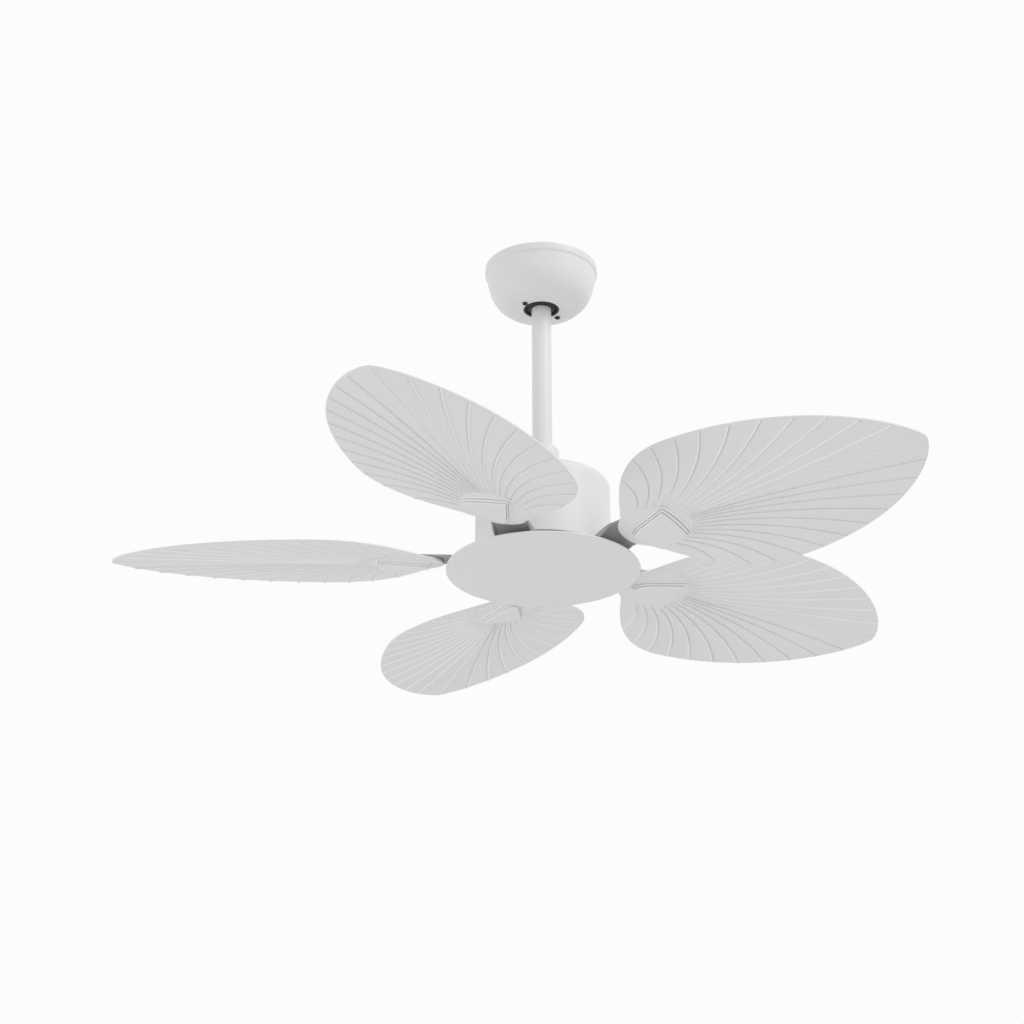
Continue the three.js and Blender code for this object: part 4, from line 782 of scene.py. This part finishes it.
def rib_column(rib, share, crest, painted_lightness):
    """A column of the grid along a rib: its rows, its place on the rim and its length.

    Share and crest are the column's shares of the rib's half width and height. Each row has a
    place, a height, a painted lightness (painted highlight above zero, painted shade below) and a
    distance from the rib's start.
    """
    start_offset = share * RIB_START_HALF_WIDTH
    start = ellipse_point(rib.angle + start_offset / ellipse_pace(rib.angle))
    start_miss = start - rib.point(0, start_offset)
    rim_place = rib.rim_place(share * RIB_HALF_WIDTH)
    end_miss = rim.inner(rim_place) - rib.point(1, share * rib_half_width(1))
    rows = []
    for distance in row_distances(rib.length):
        t = distance / rib.length
        miss = start_miss * (1 - smooth(0, WIDTH_TURN, distance)) + end_miss * t**3
        place = rib.point(t, share * rib_half_width(t)) + miss
        full = mix(PAD_HEIGHT, RIB_HEIGHT, smooth(0, HEIGHT_RISE, distance))
        fade = smooth(0, RIB_FADE, rib.length - distance)
        # painted highlight and painted shade, coming in along the rib
        row_painted_lightness = painted_lightness * smooth(PAINTED_LIGHT_FROM, PAINTED_LIGHT_TO, distance)
        rows.append((place, crest * full * fade, row_painted_lightness, distance))
    return rows, rim_place, rib.length


def panel_column(left, right, share):
    """A column of a flat panel, part of the way between the columns at its two sides."""
    (left_rows, left_rim, left_length), (right_rows, right_rim, right_length) = left, right
    rim_place = mix(left_rim, right_rim, share)
    length = mix(left_length, right_length, share)
    end_miss = rim.inner(rim_place) - left_rows[-1][0].lerp(right_rows[-1][0], share)
    rows = []
    for (a, _, _, along_a), (b, _, _, along_b) in zip(left_rows, right_rows):
        distance = mix(along_a, along_b, share)
        rows.append((a.lerp(b, share) + end_miss * (distance / length) ** 4, 0, 0, distance))
    return rows, rim_place, length


def leaf_columns():
    """The grid's columns, from the pad's edge on the -v side round the tip to the +v side."""
    ribs = [Rib(k) for k in range(-PAD_LINE, PAD_LINE + 1)]
    groups = [[rib_column(rib, *point) for point in rib.section] for rib in ribs]
    columns = list(groups[0])
    for group, following in zip(groups, groups[1:]):
        columns += [panel_column(group[-1], following[0], share) for share in PANEL_SHARES]
        columns += following
    return columns


def pad_edge(grid):
    """The first column inwards, then the columns' starts, then the last column outwards."""
    return [*reversed(grid[0]), *(column[0] for column in grid[1:-1]), *grid[-1]]


def moved_left(line, distance):
    """An open line's points but for its ends, moved to the left of its way."""
    line = [Vector(p) for p in line]
    ways = [(after - before).normalized() for before, after in zip(line, line[2:])]
    return [point + leftwards(way) * distance for point, way in zip(line[1:], ways)]


def leaf_mesh():
    """The leaf as one closed skin: ribbed underside, shallower upper side and a rounded rim."""
    vertices, faces, crests = [], [], []

    # Each vertex keeps its painted lightness: painted highlight above zero, painted shade below.
    def add(place, w, painted_lightness=0):
        vertices.append((place.x, place.y, w))
        crests.append(painted_lightness)
        return len(vertices) - 1

    def add_top(from_tip):
        return add(rim.inner(from_tip), BLADE_THICKNESS)

    columns = leaf_columns()
    under = [[add(place, -height, painted_lightness) for place, height, painted_lightness, _ in rows] for rows, _, _ in columns]
    over = []
    for rows, _, _ in columns:
        shares = [RIB_TOP_SHARE * smooth(0, TOP_RISE, distance) for _, _, _, distance in rows]
        rises = [max(height, 0) * share for (_, height, _, _), share in zip(rows, shares)]
        over.append([add(row[0], BLADE_THICKNESS + rise) for row, rise in zip(rows, rises)])
    for grid in (under, over):
        for left, right in zip(grid, grid[1:]):
            faces += strip(left, right)

    first_rim, last_rim = columns[0][1], columns[-1][1]
    edge = pad_edge(under)
    edge_line = [vertices[i][:2] for i in edge]
    insets, steps = [], []
    for inset, share in PAD_STEPS:
        w = -PAD_HEIGHT * share
        first, last = (add(rim.inner(e), w) for e in (first_rim - inset, last_rim + inset))
        insets.append(inset)
        steps.append([first, *(add(place, w) for place in moved_left(edge_line, inset)), last])
    for outer, inner in zip([edge, *steps], steps):
        faces += strip(outer, inner)

    # The rim right round, as (distance from the tip, lower vertex, upper vertex).
    loop = [(column[1], low[-1], high[-1]) for column, low, high in zip(columns, under, over)]
    loop += [(last_rim + d, step[-1], add_top(last_rim + d)) for d, step in zip(insets, steps)]
    root_from, root_to = last_rim + insets[-1], 2 * rim.half + first_rim - insets[-1]
    for i in range(1, ROOT_EDGE_STEPS):
        e = mix(root_from, root_to, i / ROOT_EDGE_STEPS)
        loop.append((e, add(rim.inner(e), -PAD_HEIGHT), add_top(e)))
    backwards = zip(reversed(insets), reversed(steps))
    loop += [(first_rim - d, step[0], add_top(first_rim - d)) for d, step in backwards]
    root = loop[len(columns):]
    faces.append([*steps[-1], *(low for _, low, _ in root[len(steps):-len(steps)])])
    faces.append([*pad_edge(over), *(high for _, _, high in root)])

    places, lows, highs = zip(*loop)
    rings = [lows]
    for row, up, degs in ((lows, 1, RIM_ROUNDING_DEGS), (highs, -1, reversed(RIM_ROUNDING_DEGS))):
        for angle in map(math.radians, degs):
            inset = RIM_INSET - RIM_ROUNDING * math.sin(angle)
            rise = up * RIM_ROUNDING * (1 - math.cos(angle))
            level = [vertices[v][2] + rise for v in row]
            rings.append([add(rim.inner(e, inset), w) for e, w in zip(places, level)])
    rings.append(highs)
    for low_ring, high_ring in zip(rings, rings[1:]):
        faces += strip(low_ring, high_ring, closed=True)
    return vertices, faces, crests


# Medallion: nested steps under the leaf's root.
MEDALLION_ROOT = 136
MEDALLION_NECK = 148
MEDALLION_SHOULDER = 200
MEDALLION_ROOT_HALF_WIDTH = 5
MEDALLION_NECK_HALF_WIDTH = 13
MEDALLION_HALF_WIDTH = 32
MEDALLION_CORNER = 1.2
MEDALLION_BOW = 5  # of the first step's tip edge; the lower ones are straighter
MEDALLION_BOW_STEPS = 16
MEDALLION_STEPS = 3
MEDALLION_STEP_HEIGHT = 2.4
MEDALLION_STEP_WIDTH = 2
MEDALLION_EDGE = 0.4
MEDALLION_CREASE = 0.8  # width and depth of the groove round the second and third steps
# painted shade in the grooves round the steps
MEDALLION_CREASE_SHADE = -2
MEDALLION_WALL_HIGHLIGHT = 0.6  # the share of each wall, from its lower edge, that has a painted highlight
MEDALLION_HIGHLIGHT_REACH = 0.5  # how far a wall's painted highlight reaches over the face beside it
MEDALLION_SHARP_DEG = 50


def drawn_in(outline, inset):
    """A convex outline, anticlockwise, with all its edges moved in by an inset."""
    points = [Vector(p) for p in outline]
    moved = []
    for before, point, after in zip(points[-1:] + points, points, points[1:] + points[:1]):
        first, second = (point - before).normalized(), (after - point).normalized()
        inwards = leftwards((first + second).normalized())
        moved.append(point + inwards * inset / inwards.dot(leftwards(first)))
    return moved


def medallion_outline(inset, bow):
    """The outline drawn in by an inset, its tip edge bowed and its corners rounded."""
    shares = [2 * i / MEDALLION_BOW_STEPS - 1 for i in range(MEDALLION_BOW_STEPS + 1)]
    tip_edge = [(MEDALLION_SHOULDER + bow * (1 - s * s), MEDALLION_HALF_WIDTH * s) for s in shares]
    neck = (MEDALLION_NECK, MEDALLION_NECK_HALF_WIDTH)
    root = (MEDALLION_ROOT, MEDALLION_ROOT_HALF_WIDTH)
    outline = [(root[0], -root[1]), (neck[0], -neck[1]), *tip_edge, neck, root]
    return softened([tuple(p) for p in drawn_in(outline, inset)], MEDALLION_CORNER)


def medallion_mesh():
    """The medallion as one closed skin, with painted highlights and painted shade by the mark of each
    ring.
    """
    rings, crests = [], []

    def add_ring(inset, w, step, painted_lightness=0):
        bow = MEDALLION_BOW * (1 - step / MEDALLION_STEPS)
        rings.append([(u, v, w) for u, v in medallion_outline(inset, bow)])
        crests.extend([painted_lightness] * len(rings[-1]))

    add_ring(0, -SEAT_GAP, 0)
    for step in range(MEDALLION_STEPS):
        inset = step * MEDALLION_STEP_WIDTH
        foot = -SEAT_GAP - step * MEDALLION_STEP_HEIGHT
        low = foot - MEDALLION_STEP_HEIGHT
        if step:
            # The groove's rings are darkened as painted shade; each wall's lower part is paled as a
            # painted highlight.
            add_ring(inset - MEDALLION_CREASE, foot, step)
            add_ring(inset - MEDALLION_CREASE / 2, foot + MEDALLION_CREASE, step, MEDALLION_CREASE_SHADE)
            add_ring(inset, foot + MEDALLION_CREASE, step, MEDALLION_CREASE_SHADE)
            add_ring(inset, foot - MEDALLION_EDGE, step)
        add_ring(inset, low + MEDALLION_WALL_HIGHLIGHT * MEDALLION_STEP_HEIGHT, step, 1)
        add_ring(inset, low + MEDALLION_EDGE, step, 1)
        add_ring(inset + MEDALLION_EDGE, low, step, 1)
        add_ring(inset + MEDALLION_EDGE + MEDALLION_HIGHLIGHT_REACH, low, step)
    return *stack(rings), crests


# Arms: a tab under the hub plate, a channel-shaped neck, and a pad on the blade.
ARM_START = 40
ARM_NECK_START = 90
ARM_NECK_END = LEAF_ROOT - 0.8
ARM_NECK_MIDDLE = (ARM_NECK_START + ARM_NECK_END) / 2
ARM_PAD_END = 203
ARM_THICKNESS = 3
ARM_TAB_HALF_WIDTH = 15
ARM_NECK_HALF_WIDTH = 25
ARM_PAD_HALF_WIDTH = 29
ARM_PAD_ROUND = ARM_PAD_END - ARM_PAD_HALF_WIDTH  # where the pad's round end begins
ARM_FLANGE_DEPTH = 5
ARM_FLANGE_THICKNESS = 2.2
ARM_FLANGE_LEAN = 1
ARM_ROUNDING = 0.6
ARM_STATIONS = 40
ARM_ROUND_STATIONS = 12
ARM_SHARP_DEG = 40
ARM_SCREWS = (50, 68)
ARM_SCREW_R, ARM_SCREW_LENGTH = 2, 8.5
BLADE_SCREWS = ((150, 0), (185, 17), (185, -17))
BLADE_SCREW_R, BLADE_SCREW_LENGTH = 1.8, 4

arm_tab_bottom = heights_of("hub_plate")[0] - SEAT_GAP - ARM_THICKNESS


def arm_point(u, v, w):
    """A point of the arm, from the level of the tab to the blade's plane."""
    flat = Vector((u, v, arm_tab_bottom + w))
    pitched = blade_plane @ Vector((u, v, BLADE_THICKNESS + SEAT_GAP + w))
    return flat.lerp(pitched, smooth(ARM_NECK_START, ARM_NECK_END, u))


def arm_half_width(u):
    if u > ARM_PAD_ROUND:
        into = min((u - ARM_PAD_ROUND) / ARM_PAD_HALF_WIDTH, 1)
        return max(ARM_PAD_HALF_WIDTH * math.sqrt(1 - into**2), 2 * ARM_FLANGE_THICKNESS)
    if u > ARM_NECK_END:
        return mix(ARM_NECK_HALF_WIDTH, ARM_PAD_HALF_WIDTH, smooth(ARM_NECK_END, ARM_PAD_ROUND, u))
    return mix(ARM_TAB_HALF_WIDTH, ARM_NECK_HALF_WIDTH, smooth(ARM_START, ARM_NECK_MIDDLE, u))


def arm_flange_depth(u):
    into_neck, out_of_neck = (ARM_NECK_START, ARM_NECK_MIDDLE), (ARM_NECK_MIDDLE, ARM_NECK_END)
    return ARM_FLANGE_DEPTH * smooth(*into_neck, u) * (1 - smooth(*out_of_neck, u))


def arm_mesh():
    stations = [mix(ARM_START, ARM_PAD_ROUND, i / ARM_STATIONS) for i in range(ARM_STATIONS)]
    angles = [math.radians(90 * i / ARM_ROUND_STATIONS) for i in range(ARM_ROUND_STATIONS + 1)]
    stations += [ARM_PAD_ROUND + ARM_PAD_HALF_WIDTH * math.sin(a) for a in angles]
    rings = []
    for u in stations:
        depth = arm_flange_depth(u)
        half = arm_half_width(u)
        inner = half - ARM_FLANGE_THICKNESS
        web = inner - ARM_FLANGE_LEAN
        section = [
            (-half, -depth), (-half, ARM_THICKNESS), (half, ARM_THICKNESS), (half, -depth),
            (inner, -depth), (web, 0), (-web, 0), (-inner, -depth),
        ]
        rings.append([arm_point(u, v, w) for v, w in softened(section, ARM_ROUNDING, 2)])
    return stack(rings)


def make_arm_screws(number, mesh):
    for letter, u in zip("ab", ARM_SCREWS):
        at = Matrix.Translation(Vector((u, 0, arm_tab_bottom - SEAT_GAP)) * MM)
        matrix = spoke(number) @ at @ Matrix.Rotation(math.pi, 4, "X")
        node = f"arm_screw_{number}{letter}"
        placed(f"arm_bolt_{number}{letter}", mesh, "bright_steel", "rotor", [node], matrix)


def make_blade_screws(number, mesh):
    seat = BLADE_THICKNESS + SEAT_GAP + ARM_THICKNESS
    for letter, (u, v) in zip("abc", BLADE_SCREWS):
        at = Matrix.Translation(Vector((u, v, seat)) * MM)
        matrix = spoke(number) @ blade_plane_metres @ at
        placed(f"blade_bolt_{number}{letter}", mesh, "bright_steel", "rotor", matrix=matrix)


def make_blades():
    # The leaves and medallions carry painted highlights and painted shade in their marks.
    *leaf, leaf_crests = leaf_mesh()
    *medallion, medallion_crests = medallion_mesh()
    arm = arm_mesh()
    arm_screw = screw_mesh("arm_screw_shape", ARM_SCREW_R, ARM_SCREW_LENGTH, "bright_steel")
    blade_screw = screw_mesh("blade_screw_shape", BLADE_SCREW_R, BLADE_SCREW_LENGTH, "bright_steel")
    for number in range(1, BLADE_COUNT + 1):
        plane = spoke(number) @ blade_plane_metres
        shown = piece(
            f"leaf_{number}", *leaf, "white_plastic", "rotor", [f"blade_{number}"],
            matrix=plane, sharp_deg=LEAF_SHARP_DEG, crests=leaf_crests,
        )
        shown.modifiers.new("weighted_normals", "WEIGHTED_NORMAL").keep_sharp = True
        piece(
            f"medallion_{number}", *medallion, "white_plastic", "rotor", [f"blade_medallion_{number}"],
            matrix=plane, sharp_deg=MEDALLION_SHARP_DEG, crests=medallion_crests,
        )
        # The arms' mid grey is painted shade, standing in for the shade on white arms between blade and
        # disc.
        piece(
            f"arm_{number}", *arm, "grey_casting", "rotor", [f"blade_arm_{number}"],
            matrix=spoke(number), sharp_deg=ARM_SHARP_DEG,
        )
        make_arm_screws(number, arm_screw)
        make_blade_screws(number, blade_screw)


# ---- Stage: camera, floor, world and lamps ------------------------------------------------

CAMERA_PLACE = (0, -2.7002, -1.5396)
CAMERA_YAW = 0.01413  # this turn and the next two are in radians
CAMERA_PITCH = 0.41738
CAMERA_ROLL = -0.00193667
CAMERA_LENS = 84.02
CAMERA_SENSOR = 36
CAMERA_REACH = 100

FLOOR_Z = -3.3
FLOOR_HALF = 30
FLOOR_COLOUR = (0.9, 0.9, 0.9)
FLOOR_ROUGHNESS = 0.9
BACKGROUND = 0.974
AMBIENT = 0.7

FAN_MIDDLE = (0, 0, -0.35)
LAMPS = {  # place, side of the square, and power
    "key": ((2.4, -1.6, 2), 1.6, 36),
    "low_left": ((-3.4, -0.6, -1.9), 1.2, 13.6),
    "low_right": ((3, -1.2, -2.6), 1.2, 4),
}


def make_camera():
    data = bpy.data.cameras.new("camera")
    data.lens, data.sensor_width = CAMERA_LENS, CAMERA_SENSOR
    data.clip_end = CAMERA_REACH
    camera = bpy.data.objects.new("camera", data)
    bpy.context.scene.collection.objects.link(camera)
    level = Vector((-math.sin(CAMERA_YAW), math.cos(CAMERA_YAW), 0))
    across = Vector((math.cos(CAMERA_YAW), math.sin(CAMERA_YAW), 0))
    rise = Vector((0, 0, 1))
    forward = level * math.cos(CAMERA_PITCH) + rise * math.sin(CAMERA_PITCH)
    upright = rise * math.cos(CAMERA_PITCH) - level * math.sin(CAMERA_PITCH)
    right = across * math.cos(CAMERA_ROLL) + upright * math.sin(CAMERA_ROLL)
    up = upright * math.cos(CAMERA_ROLL) - across * math.sin(CAMERA_ROLL)
    turn = Matrix((right, up, -forward)).transposed().to_4x4()
    camera.matrix_world = Matrix.Translation(CAMERA_PLACE) @ turn
    bpy.context.scene.camera = camera


def make_floor():
    mesh = bpy.data.meshes.new("floor")
    signs = ((-1, -1), (1, -1), (1, 1), (-1, 1))
    mesh.from_pydata([(x * FLOOR_HALF, y * FLOOR_HALF, FLOOR_Z) for x, y in signs], [], [(0, 1, 2, 3)])
    finish = dict(mottle=0.01, mottle_scale=0.5, grain_scale=60)
    mesh.materials.append(surface("floor", FLOOR_COLOUR, FLOOR_ROUGHNESS, **finish))
    floor = bpy.data.objects.new("floor", mesh)
    bpy.context.scene.collection.objects.link(floor)


def make_world():
    """A white surround: plain ambient light, and white to the camera and in reflections."""
    world = bpy.data.worlds.new("surround")
    bpy.context.scene.world = world
    world.use_nodes = True
    tree = world.node_tree
    shader = tree.nodes["Background"]
    shader.inputs["Color"].default_value = (1, 1, 1, 1)
    rays = tree.nodes.new("ShaderNodeLightPath")

    def chosen(by, when_yes, otherwise):
        choice = tree.nodes.new("ShaderNodeMix")
        tree.links.new(rays.outputs[by], choice.inputs["Factor"])
        for socket, value in (("A", otherwise), ("B", when_yes)):
            if isinstance(value, float):
                choice.inputs[socket].default_value = value
            else:
                tree.links.new(value, choice.inputs[socket])
        return choice.outputs["Result"]

    strength = chosen("Is Glossy Ray", 1.0, AMBIENT)
    strength = chosen("Is Transmission Ray", 1.0, strength)
    strength = chosen("Is Camera Ray", BACKGROUND, strength)
    tree.links.new(strength, shader.inputs["Strength"])


def add_lamp(name, place, size, power):
    """A soft square lamp, aimed at the fan and hidden from the camera."""
    data = bpy.data.lights.new(name, "AREA")
    data.shape, data.size, data.energy = "SQUARE", size, power
    lamp = bpy.data.objects.new(name, data)
    bpy.context.scene.collection.objects.link(lamp)
    lamp.location = place
    aim = Vector(FAN_MIDDLE) - Vector(place)
    lamp.rotation_mode = "QUATERNION"
    lamp.rotation_quaternion = aim.to_track_quat("-Z", "Y")
    lamp.visible_camera = False


bpy.context.scene.view_settings.view_transform = "Standard"
make_camera()
make_floor()
make_world()
for lamp_name, lamp in LAMPS.items():
    add_lamp(lamp_name, *lamp)

make_canopy()
make_canopy_screws()
make_ball_joint()
make_rod()
make_collar()
make_housing()
make_housing_screws()
make_disc()
make_hub()
make_carrier()
make_blades()
